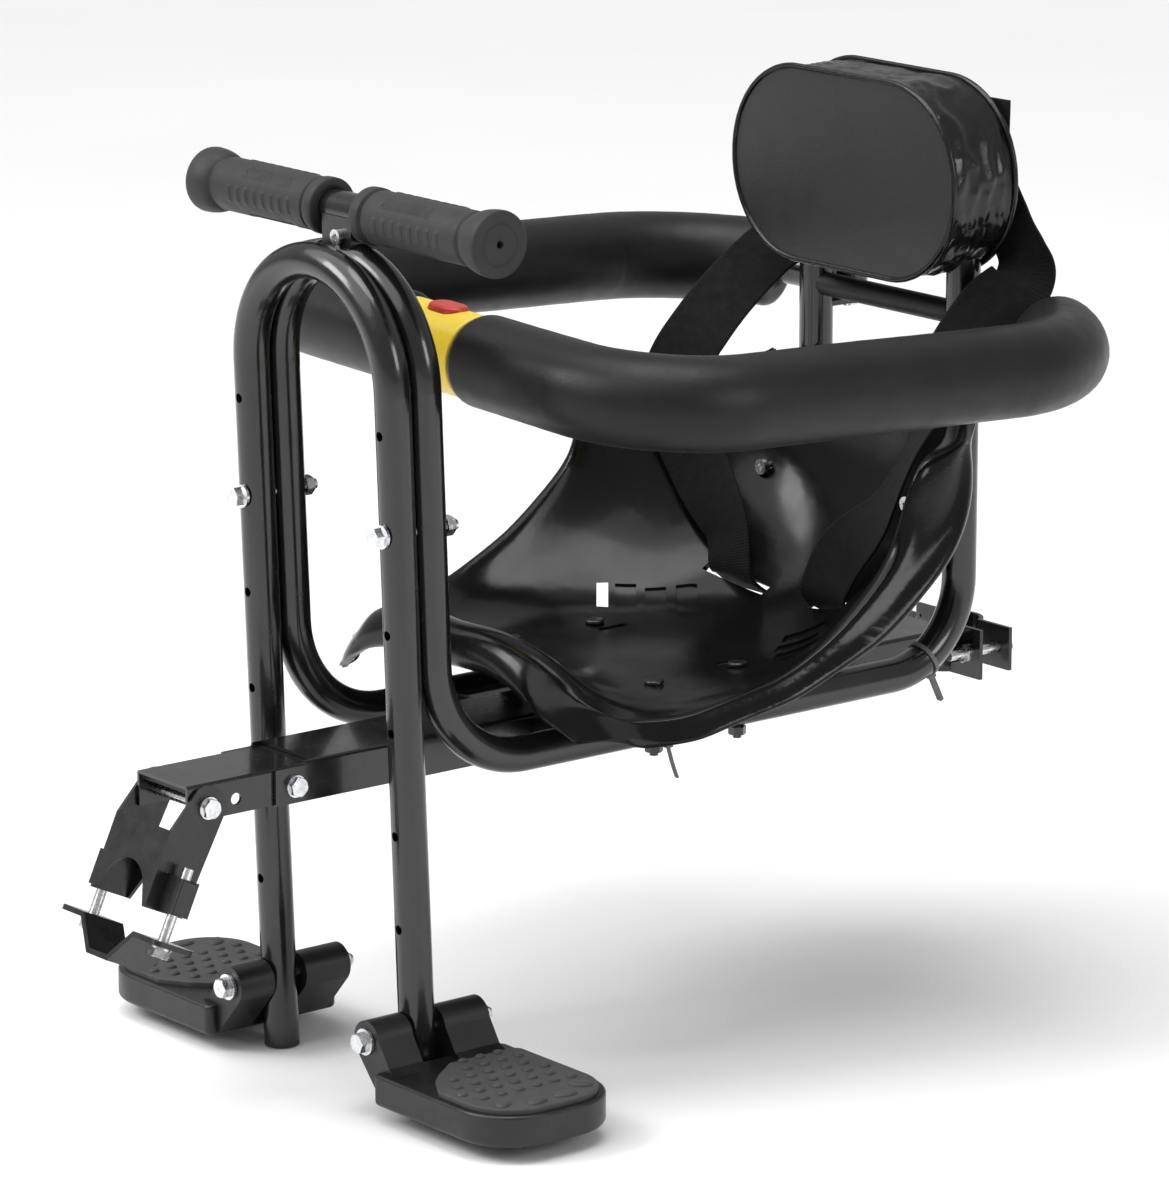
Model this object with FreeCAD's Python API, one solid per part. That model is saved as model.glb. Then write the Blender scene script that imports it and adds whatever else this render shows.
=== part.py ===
import FreeCAD, Part
import math
import os

V = FreeCAD.Vector
os.makedirs("parts", exist_ok=True)

# ---------------------------------------------------------------- driving dimensions (mm)
# Working axes: x across (+x the child's left), y to the rear, z up.
# Working zero: between the hoop bolts, on the hoop's centreline. Everything is shifted at the end so
# that the origin is the axis of the tube held by the front clamp.
TUBE_OD = 20.0            # hoop and main frame tube
TUBE_ID = 16.4
HALF_W = 64.0             # half spacing of the legs, rails and uprights
LEAN = 0.0375             # the legs lean: y = -LEAN * z
Y_HOOP = 2.7              # hoop centreline at bolt height
Y_FRAME = 23.1            # main frame's arch, behind the hoop's
Z_ARCH = 140.0            # arch centreline, top
Z_LEG_END = -318.0        # hoop's lower ends
Z_RAIL = -136.0           # rail centreline
Y_UPRIGHT = 410.0         # rear upright centreline
Z_UPRIGHT_TOP = 184.0
R_BEND_FRONT = 62.0
R_BEND_REAR = 52.0
HOLE_PITCH = 55.0         # height holes in the hoop

Y_BAR, Z_BAR = 21.5, 164.6        # T-bar axis
Y_SADDLE = 19.6
BAR_HALF = 126.0
GRIP_R = 15.0

BEAM_W, BEAM_TOP, BEAM_BOTTOM, BEAM_T = 51.0, -128.0, -150.6, 1.8
BEAM_FRONT, BEAM_EAR, BEAM_REAR = -26.0, -52.0, 440.0
Y_RBOLT = 412.0           # bolt that holds the rear clamp in the beam
INNER_W, INNER_TOP, INNER_BOTTOM = 46.8, -130.1, -150.2
INNER_FRONT, INNER_REAR = -109.0, 110.0
Y_BEAM_BOLT, Z_BEAM_BOLT = -39.0, -141.0
Y_SPARE, Z_SPARE, R_SPARE = -77.0, -142.0, 3.3
Y_PIVOT, Z_PIVOT = -97.0, -143.0
TILT = 25.0               # front clamp leans forward, degrees
CLAMP_R, CLAMP_D = 19.0, 58.0     # tube radius and its distance below the pivot
CLAMP_N = 5.1             # middle of the clamp along the tube

POST_R = 14.5             # rear clamp's post
Y_POST = 457.0
Z_CLAMP_LO, Z_CLAMP_HI = -158.0, -128.0
JAW_OPEN = 9.0
JAW_HALF = 41.0

Y_RING_F, Y_RING_R, X_RING, Z_RING_F, RING_SLOPE = 84.0, 436.0, 180.0, 81.2, 0.044
R_RING_F, R_RING_R = 64.0, 98.0
RING_ROLL = 2.0           # the ring sits a little lower on its swinging side, degrees
X_FOAM = 120.0            # where the foam ends at the rear
FOAM_R, RING_R, RING_IR = 26.0, 11.0, 9.0
SLEEVE_HALF, SLEEVE_R = 31.0, 23.5
X_BUTTON = 3.0

PAD_X, PAD_Z0, PAD_Z1, PAD_Y0, PAD_Y1, PAD_CORNER = 97.0, 90.0, 206.0, 368.0, 424.0, 57.0

Z_HINGE = -280.0          # pedal hinge
PEDAL_IN, PEDAL_OUT = 76.5, 189.0
PEDAL_Y0, PEDAL_Y1 = -27.0, 63.0
PEDAL_Z0, PEDAL_Z1 = -312.0, -294.0
KNUCKLE_R = 11.5

SHELL_T = 3.0


def leg_y(z, y0=Y_HOOP):
    return y0 - LEAN * z


def ring_z(y):
    return Z_RING_F - RING_SLOPE * (y - Y_RING_F)


# ---------------------------------------------------------------- helpers
def rounded_path(pts, radii):
    """Straight runs joined by tangent arcs."""
    pts = [V(*p) for p in pts]
    edges, last = [], pts[0]
    for i in range(1, len(pts) - 1):
        p, r = pts[i], radii[i - 1]
        a = (pts[i - 1] - p).normalize()
        b = (pts[i + 1] - p).normalize()
        half = a.getAngle(b) / 2.0
        d = r / math.tan(half)
        s, e = p + a * d, p + b * d
        mid_dir = (a + b).normalize()
        c = p + mid_dir * (r / math.sin(half))
        m = c - mid_dir * r
        if (s - last).Length > 1e-4:
            edges.append(Part.LineSegment(last, s).toShape())
        edges.append(Part.Arc(s, m, e).toShape())
        last = e
    if (pts[-1] - last).Length > 1e-4:
        edges.append(Part.LineSegment(last, pts[-1]).toShape())
    return Part.Wire(edges)


def pipe(wire, r):
    e = wire.Edges[0]
    p = wire.OrderedVertexes[0].Point
    t = e.tangentAt(e.FirstParameter)
    if (e.valueAt(e.FirstParameter) - p).Length > 1e-4:
        t = e.tangentAt(e.LastParameter) * -1
    prof = Part.Wire([Part.Circle(p, t, r).toShape()])
    s = wire.makePipeShell([prof], True, False)
    if s.Volume < 0:
        s.reverse()
    return s


def cyl(r, a, b):
    a, b = V(*a), V(*b)
    return Part.makeCylinder(r, (b - a).Length, a, b - a)


def box(x0, x1, y0, y1, z0, z1):
    return Part.makeBox(x1 - x0, y1 - y0, z1 - z0, V(x0, y0, z0))


def hexagon(a, b, across, turn=0.0):
    """Hexagonal prism from a to b."""
    a, b = V(*a), V(*b)
    r = across / math.sqrt(3.0)
    pts = [V(r * math.cos(math.radians(60 * k + turn)), r * math.sin(math.radians(60 * k + turn)), 0) for k in range(7)]
    s = Part.Face(Part.makePolygon(pts)).extrude(V(0, 0, (b - a).Length))
    cone = Part.makeCone(across * 0.5 + (b - a).Length * 1.9, across * 0.5 - 0.1, (b - a).Length * 1.02)
    s = s.common(cone)
    s.Placement = FreeCAD.Placement(a, FreeCAD.Rotation(V(0, 0, 1), b - a))
    return s


def mirror_x(s):
    return s.mirror(V(0, 0, 0), V(1, 0, 0))


def group(*solids):
    out = []
    for s in solids:
        out += s.Solids
    return out[0] if len(out) == 1 else Part.makeCompound(out)


PARTS = {}


def add(name, shape):
    PARTS[name] = shape


# ---------------------------------------------------------------- main frame and footrest hoop
ya = leg_y(Z_ARCH, Y_FRAME)
yb = leg_y(Z_RAIL, Y_FRAME)
R_ARCH = HALF_W - 0.01
frame_pts = [(HALF_W, Y_UPRIGHT, Z_UPRIGHT_TOP), (HALF_W, Y_UPRIGHT, Z_RAIL), (HALF_W, yb, Z_RAIL), (HALF_W, ya, Z_ARCH),
             (-HALF_W, ya, Z_ARCH), (-HALF_W, yb, Z_RAIL), (-HALF_W, Y_UPRIGHT, Z_RAIL), (-HALF_W, Y_UPRIGHT, Z_UPRIGHT_TOP)]
frame_wire = rounded_path(frame_pts, [R_BEND_REAR, R_BEND_FRONT, R_ARCH, R_ARCH, R_BEND_FRONT, R_BEND_REAR])
frame_out = pipe(frame_wire, TUBE_OD / 2)
frame = frame_out.cut(pipe(frame_wire, TUBE_ID / 2))

hoop_wire = rounded_path([(HALF_W, leg_y(Z_LEG_END), Z_LEG_END), (HALF_W, leg_y(Z_ARCH), Z_ARCH),
                          (-HALF_W, leg_y(Z_ARCH), Z_ARCH), (-HALF_W, leg_y(Z_LEG_END), Z_LEG_END)], [R_ARCH, R_ARCH])
hoop_out = pipe(hoop_wire, TUBE_OD / 2)
hoop = hoop_out.cut(pipe(hoop_wire, TUBE_ID / 2))

SHELL_BOLTS = [(sx * HALF_W, y) for sx in (1, -1) for y in (181.0, 242.0)]
cuts_frame, cuts_hoop = [], []
for sx in (1, -1):
    x = sx * HALF_W
    cuts_frame.append(cyl(3.2, (x, Y_FRAME - 15, 0), (x, Y_FRAME + 25, 0)))
    cuts_hoop.append(cyl(3.2, (x, -30, 0), (x, Y_HOOP + 15, 0)))
    for z in (HOLE_PITCH, -HOLE_PITCH, -2 * HOLE_PITCH, -3 * HOLE_PITCH - 3, -4 * HOLE_PITCH - 1):
        cuts_hoop.append(cyl(2.7, (x, -30, z), (x, 40, z)))
    cuts_hoop.append(cyl(3.05, (x, -30, Z_HINGE), (x, 40, Z_HINGE)))
    cuts_frame.append(cyl(1.7, (x, Y_UPRIGHT - 20, -36), (x, Y_UPRIGHT, -36)))
for x, y in SHELL_BOLTS:
    cuts_frame.append(cyl(2.8, (x, y, -160), (x, y, -115)))
frame = frame.cut(cuts_frame)
hoop = hoop.cut(cuts_hoop)
add("main_frame", frame)
add("footrest_hoop", hoop)

bolts, nuts, caps = [], [], []
for sx in (1, -1):
    x = sx * HALF_W
    y0, y1 = Y_HOOP - 10.3, Y_FRAME + 10.3
    head = hexagon((x, y0, 0), (x, y0 - 7.2, 0), 10.0, 15)
    washer = cyl(6.6, (x, y0 + 0.1, 0), (x, y0 - 1.4, 0))
    bolts.append(head.fuse([washer, cyl(3.0, (x, y0 - 2, 0), (x, y1 + 8.4, 0))]).removeSplitter())
    nuts.append(hexagon((x, y1, 0), (x, y1 + 5.2, 0), 10.0, 10).cut(cyl(3.05, (x, y1 - 10, 0), (x, y1 + 20, 0))))
    yl = leg_y(Z_LEG_END)
    cap = cyl(9.9, (x, yl, Z_LEG_END - 2.4), (x, yl, Z_LEG_END - 0.05)).fuse(
        cyl(7.9, (x, yl, Z_LEG_END - 1), (x, yl - LEAN * 12, Z_LEG_END + 12)))
    cap = cap.cut(hoop)
    caps.append(max(cap.Solids, key=lambda s: s.Volume))
add("hoop_bolts", group(*bolts))
add("hoop_nuts", group(*nuts))
add("hoop_end_caps", group(*caps))

# crossbar between the uprights
Z_CROSS = 70.0
cross = cyl(7.0, (-HALF_W, Y_UPRIGHT, Z_CROSS), (HALF_W, Y_UPRIGHT, Z_CROSS)).cut(
    cyl(5.4, (-HALF_W, Y_UPRIGHT, Z_CROSS), (HALF_W, Y_UPRIGHT, Z_CROSS))).cut(frame_out)
add("rear_crossbar", max(cross.Solids, key=lambda s: s.Volume))

# ---------------------------------------------------------------- T-bar
bar_out = cyl(10.0, (-BAR_HALF, Y_BAR, Z_BAR), (BAR_HALF, Y_BAR, Z_BAR))
saddle = box(-13, 13, Y_SADDLE - 8.5, Y_SADDLE + 8.5, 141.0, 163.0).cut([frame_out, bar_out])
saddle = max(saddle.Solids, key=lambda s: s.Volume)
saddle = saddle.cut(cyl(2.0, (3, Y_SADDLE - 20, 152.3), (3, Y_SADDLE + 20, 152.3)))
add("handlebar_tube", bar_out.cut(cyl(8.2, (-BAR_HALF, Y_BAR, Z_BAR), (BAR_HALF, Y_BAR, Z_BAR))))
add("handlebar_saddle", max(saddle.Solids, key=lambda s: s.Volume))
scr = cyl(4.2, (3, Y_SADDLE - 8.6, 152.3), (3, Y_SADDLE - 12.0, 152.3)).fuse(cyl(1.9, (3, Y_SADDLE - 10, 152.3), (3, Y_SADDLE + 11, 152.3)))
scr = scr.cut(hexagon((3, Y_SADDLE - 10.2, 152.3), (3, Y_SADDLE - 13.0, 152.3), 4.0))
nut5 = hexagon((3, Y_SADDLE + 8.6, 152.3), (3, Y_SADDLE + 11.6, 152.3), 7.0).cut(cyl(1.95, (3, Y_SADDLE, 152.3), (3, Y_SADDLE + 20, 152.3)))
add("handlebar_screw", scr)
add("handlebar_nut", nut5)

grip_prof = [(17, 10.04), (17, 15.0), (17.8, 15.8), (24.4, 15.8), (25.2, 15.0), (25.6, 13.6), (27.2, 13.6), (27.8, GRIP_R),
             (109, GRIP_R), (110, 13.8), (113, 13.8), (114.5, 15.6), (119, 17.4), (126, 18.3), (129.2, 18.3), (130, 17.6),
             (130, 2.0), (126.3, 2.0), (126.3, 10.04), (17, 10.04)]


def grip(sx):
    w = Part.makePolygon([V(sx * px, Y_BAR, Z_BAR + r) for px, r in grip_prof])
    return Part.Face(w).revolve(V(0, Y_BAR, Z_BAR), V(1, 0, 0), 360)


for name, sx in (("grip_left", 1), ("grip_right", -1)):
    g = grip(sx)
    if g.Volume < 0:
        g.reverse()
    add(name, g)

# ---------------------------------------------------------------- beam
hw, ihw = BEAM_W / 2, INNER_W / 2
outer = box(-hw, hw, BEAM_EAR, BEAM_REAR, BEAM_BOTTOM, BEAM_TOP)
outer = outer.makeFillet(2.2, [e for e in outer.Edges if abs(e.CenterOfMass.z - BEAM_TOP) < 1e-6 and abs(abs(e.CenterOfMass.x) - hw) < 1e-6])
outer = outer.cut(box(-hw + BEAM_T, hw - BEAM_T, BEAM_EAR - 1, BEAM_REAR + 1, BEAM_BOTTOM - 1, BEAM_TOP - BEAM_T))
outer = outer.cut(box(-hw + BEAM_T, hw - BEAM_T, BEAM_EAR - 1, BEAM_FRONT, BEAM_TOP - 5, BEAM_TOP + 5))
outer = outer.cut(box(-hw - 1, hw + 1, BEAM_EAR - 1, BEAM_FRONT - 6, BEAM_TOP - 2.4, BEAM_TOP + 5))
outer = outer.cut([cyl(3.1, (-40, Y_BEAM_BOLT, Z_BEAM_BOLT), (40, Y_BEAM_BOLT, Z_BEAM_BOLT)),
                   cyl(2.6, (-40, Y_RBOLT, -142), (40, Y_RBOLT, -142))])
add("beam_outer", max(outer.Solids, key=lambda s: s.Volume))
inner = box(-ihw, ihw, INNER_FRONT, INNER_REAR, INNER_BOTTOM, INNER_TOP)
inner = inner.makeFillet(1.8, [e for e in inner.Edges if abs(e.CenterOfMass.z - INNER_TOP) < 1e-6 and abs(abs(e.CenterOfMass.x) - ihw) < 1e-6])
inner = inner.cut(box(-ihw + BEAM_T, ihw - BEAM_T, INNER_FRONT - 1, INNER_REAR + 1, INNER_BOTTOM - 1, INNER_TOP - BEAM_T))
inner = inner.cut([cyl(3.1, (-40, Y_BEAM_BOLT, Z_BEAM_BOLT), (40, Y_BEAM_BOLT, Z_BEAM_BOLT)),
                   cyl(R_SPARE, (-40, Y_SPARE, Z_SPARE), (40, Y_SPARE, Z_SPARE)),
                   cyl(3.05, (-40, Y_PIVOT, Z_PIVOT), (40, Y_PIVOT, Z_PIVOT))])
add("beam_inner", inner)

stubs = []
for sx in (1, -1):
    for y in (130.0, 330.0):
        s = cyl(6.5, (sx * (hw + 0.02), y, -138.5), (sx * HALF_W, y, -138.5)).cut(frame_out)
        stubs.append(max(s.Solids, key=lambda q: q.Volume))
add("rail_stubs", group(*stubs))


def cross_bolt(y, z, r, x_head, x_nut, across, head_h=4.6, tail=3.0):
    """Bolt across the beam with its nut."""
    b = hexagon((x_head, y, z), (x_head + head_h, y, z), across, 12)
    b = b.fuse([cyl(across * 0.62, (x_head - 0.02, y, z), (x_head + 1.2, y, z)), cyl(r, (x_nut - head_h - tail, y, z), (x_head + 1, y, z))]).removeSplitter()
    n = hexagon((x_nut, y, z), (x_nut - head_h, y, z), across, 20).cut(cyl(r + 0.04, (x_nut - 20, y, z), (x_nut + 5, y, z)))
    return b, n


b, n = cross_bolt(Y_BEAM_BOLT, Z_BEAM_BOLT, 3.0, hw + 0.05, -hw - 0.05, 10.0)
add("beam_bolt", b)
add("beam_nut", n)

# ---------------------------------------------------------------- front clamp, built upright at the pivot and then leaned
EAR_IN, EAR_OUT = ihw + 0.35, ihw + 2.15
PLATE_F0, PLATE_F1 = -18.4, -16.4
PLATE_R0, PLATE_R1 = 6.2, 8.2
Z_TIP = -61.0
Z_PLATE = -18.0           # top edge of the front plate


def lean(s):
    s = s.copy()
    s.rotate(V(0, 0, 0), V(1, 0, 0), -TILT)
    s.translate(V(0, Y_PIVOT, Z_PIVOT))
    return s


def ear(x0, x1):
    prof = Part.Face(Part.makePolygon([V(x0, PLATE_F0, Z_PLATE), V(x0, PLATE_F0, Z_TIP), V(x0, PLATE_R1, Z_TIP), V(x0, 12.0, -2.0),
                                       V(x0, 4.0, 6.0), V(x0, -11.0, 4.6), V(x0, PLATE_F0, Z_PLATE)])).extrude(V(x1 - x0, 0, 0))
    return prof.fuse(cyl(12.0, (x0, 0, 0), (x1, 0, 0)))


bracket = box(-EAR_OUT, EAR_OUT, PLATE_F0, PLATE_F1, Z_TIP, Z_PLATE).fuse(
    [box(-EAR_OUT, EAR_OUT, PLATE_R0, PLATE_R1, Z_TIP, -36.0), ear(EAR_IN, EAR_OUT), mirror_x(ear(EAR_IN, EAR_OUT))])
ARC = math.radians(63.0)
xa, za = CLAMP_R * math.sin(ARC), -CLAMP_D + CLAMP_R * math.cos(ARC)
xb = xa + (za - Z_TIP + 1.0) * math.cos(ARC) / math.sin(ARC)
notch = Part.Wire([Part.Arc(V(-xa, -30, za), V(0, -30, -CLAMP_D + CLAMP_R), V(xa, -30, za)).toShape(),
                   Part.makePolygon([V(xa, -30, za), V(xb, -30, Z_TIP - 1.0), V(-xb, -30, Z_TIP - 1.0), V(-xa, -30, za)])])
notch = Part.Face(notch).extrude(V(0, 60, 0))
bracket = bracket.cut([notch, cyl(3.06, (-40, 0, 0), (40, 0, 0))]).removeSplitter()
add("front_clamp_bracket", lean(max(bracket.Solids, key=lambda s: s.Volume)))

b, n = cross_bolt(0, 0, 3.0, EAR_OUT + 0.3, -EAR_OUT - 0.3, 10.0)
b.translate(V(0, Y_PIVOT, Z_PIVOT))
n.translate(V(0, Y_PIVOT, Z_PIVOT))
add("front_pivot_bolt", b)
add("front_pivot_nut", n)

X_CB = 32.8
blocks, cbolts, cwash = [], [], []
for sx in (1, -1):
    blk = box(EAR_OUT, 39.5, -10.5, 1.5, -60.0, -40.0)
    blk = blk.makeFillet(1.2, [e for e in blk.Edges if abs(e.CenterOfMass.x - 39.5) < 1e-6])
    blk = blk.cut(cyl(3.05, (X_CB, -4.5, -70), (X_CB, -4.5, -30)))
    bolt = hexagon((X_CB, -4.5, -79.6), (X_CB, -4.5, -84.2), 10.0, 8).fuse(cyl(3.0, (X_CB, -4.5, -34.0), (X_CB, -4.5, -81.0)))
    wsh = cyl(6.2, (X_CB, -4.5, -79.5), (X_CB, -4.5, -78.1)).cut(cyl(3.1, (X_CB, -4.5, -95), (X_CB, -4.5, -70)))
    for lst, s in ((blocks, blk), (cbolts, bolt), (cwash, wsh)):
        lst.append(lean(s if sx > 0 else mirror_x(s)))
add("front_clamp_blocks", group(*blocks))
add("front_clamp_bolts", group(*cbolts))
add("front_clamp_washers", group(*cwash))

# lower strap: a strip bent to a hat, 3 mm thick
outline = [(46, -75), (23.2, -75), (8.2, -92), (-8.2, -92), (-23.2, -75), (-46, -75),
           (-46, -78), (-24.6, -78), (-9.6, -95), (9.6, -95), (24.6, -78), (46, -78), (46, -75)]
strap = Part.Face(Part.makePolygon([V(px, -18.5, pz) for px, pz in outline])).extrude(V(0, 28, 0))
corner = [e for e in strap.Edges if abs(abs(e.CenterOfMass.x) - 46) < 1e-6 and e.Length < 3.5]
strap = strap.makeFillet(5.0, corner)
strap = strap.cut([cyl(3.3, (s * X_CB, -4.5, -90), (s * X_CB, -4.5, -65)) for s in (1, -1)])
add("front_clamp_strap", lean(strap))

# ---------------------------------------------------------------- rear clamp
JAW_T = 2.5
A2 = math.radians(66.0)


def jaw_profile(yc, s):
    """Strip with a round seat about (0, yc); s = -1 for the seat in front of the post, +1 behind it."""
    r0, r1 = POST_R, POST_R + JAW_T
    x0, y0 = r0 * math.sin(A2), yc + s * r0 * math.cos(A2)
    y1 = y0 + s * JAW_T
    x1 = math.sqrt(r1 * r1 - (y1 - yc) ** 2)
    inner_arc = Part.Arc(V(-x0, y0, 0), V(0, yc + s * r0, 0), V(x0, y0, 0)).toShape()
    outer_arc = Part.Arc(V(-x1, y1, 0), V(0, yc + s * r1, 0), V(x1, y1, 0)).toShape()
    right = Part.makePolygon([V(x0, y0, 0), V(JAW_HALF, y0, 0), V(JAW_HALF, y1, 0), V(x1, y1, 0)])
    left = Part.makePolygon([V(-x1, y1, 0), V(-JAW_HALF, y1, 0), V(-JAW_HALF, y0, 0), V(-x0, y0, 0)])
    w = Part.Wire([inner_arc] + right.Edges + [outer_arc] + left.Edges)
    f = Part.Face(Part.Wire(Part.__sortEdges__(w.Edges)))
    return f, y0, y1


Z_RB = (Z_CLAMP_LO + Z_CLAMP_HI) / 2
X_RB = 31.5
face, yf0, yf1 = jaw_profile(Y_POST, -1)
fixed = face.extrude(V(0, 0, Z_CLAMP_HI - Z_CLAMP_LO))
fixed.translate(V(0, 0, Z_CLAMP_LO))
ears = []
for sx in (1, -1):
    e = box(21.4, 23.3, Y_RBOLT - 14.0, yf1 + 0.5, -150.0, -134.0)
    ears.append(e if sx > 0 else mirror_x(e))
fixed = fixed.fuse(ears).removeSplitter()
fixed = fixed.cut([cyl(3.05, (s * X_RB, Y_POST - 40, Z_RB), (s * X_RB, Y_POST + 40, Z_RB)) for s in (1, -1)] + [cyl(2.6, (-40, Y_RBOLT, -142), (40, Y_RBOLT, -142))])
add("rear_clamp_bracket", fixed)
b, n = cross_bolt(Y_RBOLT, -142, 2.5, hw + 0.05, -hw - 0.05, 8.0, 3.8, 2.5)
add("rear_bracket_bolt", b)
add("rear_bracket_nut", n)
face, ym0, ym1 = jaw_profile(Y_POST + JAW_OPEN, 1)
moving = face.extrude(V(0, 0, Z_CLAMP_HI - Z_CLAMP_LO - 4))
moving.translate(V(0, 0, Z_CLAMP_LO + 2))
moving = moving.cut([cyl(3.3, (s * X_RB, Y_POST - 40, Z_RB), (s * X_RB, Y_POST + 60, Z_RB)) for s in (1, -1)])
add("rear_clamp_strap", moving)
rbolts, rnuts = [], []
for sx in (1, -1):
    x = sx * X_RB
    rb = hexagon((x, ym1 + 0.05, Z_RB), (x, ym1 + 4.8, Z_RB), 10.0, 10).fuse(
        [cyl(6.2, (x, ym1 + 0.03, Z_RB), (x, ym1 + 1.3, Z_RB)), cyl(3.0, (x, yf1 - 16.0, Z_RB), (x, ym1 + 2, Z_RB))]).removeSplitter()
    rbolts.append(rb)
    rnuts.append(hexagon((x, yf1 - 0.02, Z_RB), (x, yf1 - 5.2, Z_RB), 10.0, 25).cut(cyl(3.05, (x, yf1 - 30, Z_RB), (x, yf1 + 30, Z_RB))))
add("rear_clamp_bolts", group(*rbolts))
add("rear_clamp_nuts", group(*rnuts))

# ---------------------------------------------------------------- seat shell
# rows from the front lip over the pan and up the back; each row runs from the middle to the rolled edge through
# middle, foot of the wall, half way up, rim, outer side of the roll, lower edge of the roll (x, y, z)
ROWS = [((0, 83, -97), (40, 83, -96.5), (66, 82, -101), (84, 82, -109), (95, 85, -115), (104, 90, -120.5)),
        ((0, 78, -83), (40, 79, -82.5), (68, 80, -89), (87, 84, -100), (100, 89, -110), (111, 95, -121)),
        ((0, 86, -73.5), (40, 88, -73.5), (72, 91, -81), (94, 96, -96.5), (107, 99, -106), (117, 106, -121)),
        ((0, 104, -78), (40, 105, -78.5), (76, 107, -88), (109, 107, -106.5), (121, 109, -109), (129, 117, -121.5)),
        ((0, 124, -91), (44, 125, -93), (84, 124, -102), (120, 120, -109), (132, 121, -110.5), (140, 128, -121.5)),
        ((0, 146, -103), (56, 147, -106), (98, 143, -109), (130, 140, -108.5), (142, 139, -108.5), (149, 144, -119)),
        ((0, 174, -110.5), (66, 174, -111.5), (108, 170, -109.5), (136, 166, -104), (148, 164, -102.5), (154, 169, -113)),
        ((0, 206, -112), (71, 203, -112), (113, 199, -106.5), (139, 196, -98.5), (151, 195, -96), (157, 204, -106)),
        ((0, 238, -112), (73, 233, -111), (114, 226, -101.5), (140.5, 221, -89), (152.5, 221, -86), (159, 233, -95)),
        ((0, 268, -111.8), (72, 260, -109.5), (115, 251, -92), (141, 244, -75.5), (153, 248, -72.5), (160.5, 266, -81)),
        ((0, 296, -110), (68, 286, -105), (115, 275, -80), (142, 267, -57.5), (153.5, 274, -54.5), (161, 293, -62)),
        ((0, 323, -104.5), (64, 312, -95), (115, 297, -63), (143.5, 284, -38.5), (153, 297, -36), (158, 318, -42.5)),
        ((0, 349, -91), (63, 338, -78), (115, 314, -43), (145, 292.5, -18), (151.5, 314, -16), (149, 339, -21.5)),
        ((0, 370, -68), (62, 361, -56), (115, 331, -23), (146, 299, 2), (149, 324, 4), (141, 349, -1.5)),
        ((0, 384, -40), (62, 377, -32.5), (114, 345, -7), (142, 311, 12), (144, 334, 14), (133.5, 354.5, 9.5)),
        ((0, 390, -12), (61, 384.5, -7.5), (106, 360, 4), (129, 335, 15.5), (133, 350, 17.5), (125, 363, 14.5)),
        ((0, 391.5, 10), (56, 387, 11), (90, 374, 15), (108, 359, 19.5), (113, 367, 22), (112, 377.5, 19.5)),
        ((0, 394, 28), (39, 392.5, 27.5), (62, 388, 26.5), (79, 381, 25.5), (86, 384.5, 27), (89, 392, 25)),
        ((0, 396.5, 33), (37, 395.5, 32), (58, 391.5, 31), (72, 386.5, 30), (78, 388.5, 31), (81, 393.5, 29))]
STEPS = (4, 3, 3, 2, 2)


def cat(a, b, c, d, t):
    return 0.5 * ((2 * b) + (-a + c) * t + (2 * a - 5 * b + 4 * c - d) * t * t + (-a + 3 * b - 3 * c + d) * t ** 3)


def shell_grid():
    grid = []
    for row in ROWS:
        p = [V(*q) for q in row]
        p = [V(-p[1].x, p[1].y, p[1].z)] + p + [p[-1] + (p[-1] - p[-2]) * 0.5]
        half = []
        for i, k in enumerate(STEPS):
            a, b_, c, d = p[i], p[i + 1], p[i + 2], p[i + 3]
            for j in range(k):
                t = j / k
                half.append(V(cat(a.x, b_.x, c.x, d.x, t), cat(a.y, b_.y, c.y, d.y, t), cat(a.z, b_.z, c.z, d.z, t)))
        half.append(p[-2])
        grid.append([V(-q.x, q.y, q.z) for q in reversed(half[1:])] + half)
    return grid


def normals(grid):
    nv, nu = len(grid), len(grid[0])
    out = []
    for i in range(nv):
        row = []
        for j in range(nu):
            a = grid[i][min(j + 1, nu - 1)] - grid[i][max(j - 1, 0)]
            b_ = grid[min(i + 1, nv - 1)][j] - grid[max(i - 1, 0)][j]
            nn = a.cross(b_)
            row.append(nn.normalize())
        out.append(row)
    return out


def surface(grid):
    s = Part.BSplineSurface()
    s.interpolate(grid)
    return s


g_top = shell_grid()
g_nrm = normals(g_top)


def iso_edges(s):
    u0, u1, v0, v1 = s.bounds()
    return [s.uIso(u0).toShape(), s.uIso(u1).toShape(), s.vIso(v0).toShape(), s.vIso(v1).toShape()]


def shell_solid(t0, t1):
    """Solid between two offsets of the upper face."""
    s_a, s_b = [surface([[g_top[i][j] - g_nrm[i][j] * t for j in range(len(g_top[0]))] for i in range(len(g_top))]) for t in (t0, t1)]
    faces = [s_a.toShape(), s_b.toShape()]
    for ea, eb in zip(iso_edges(s_a), iso_edges(s_b)):
        faces.append(Part.makeRuledSurface(ea, eb))
    sh = Part.Shell(faces)
    sh.sewShape()
    out = Part.Solid(sh)
    if out.Volume < 0:
        out.reverse()
    return out


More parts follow.
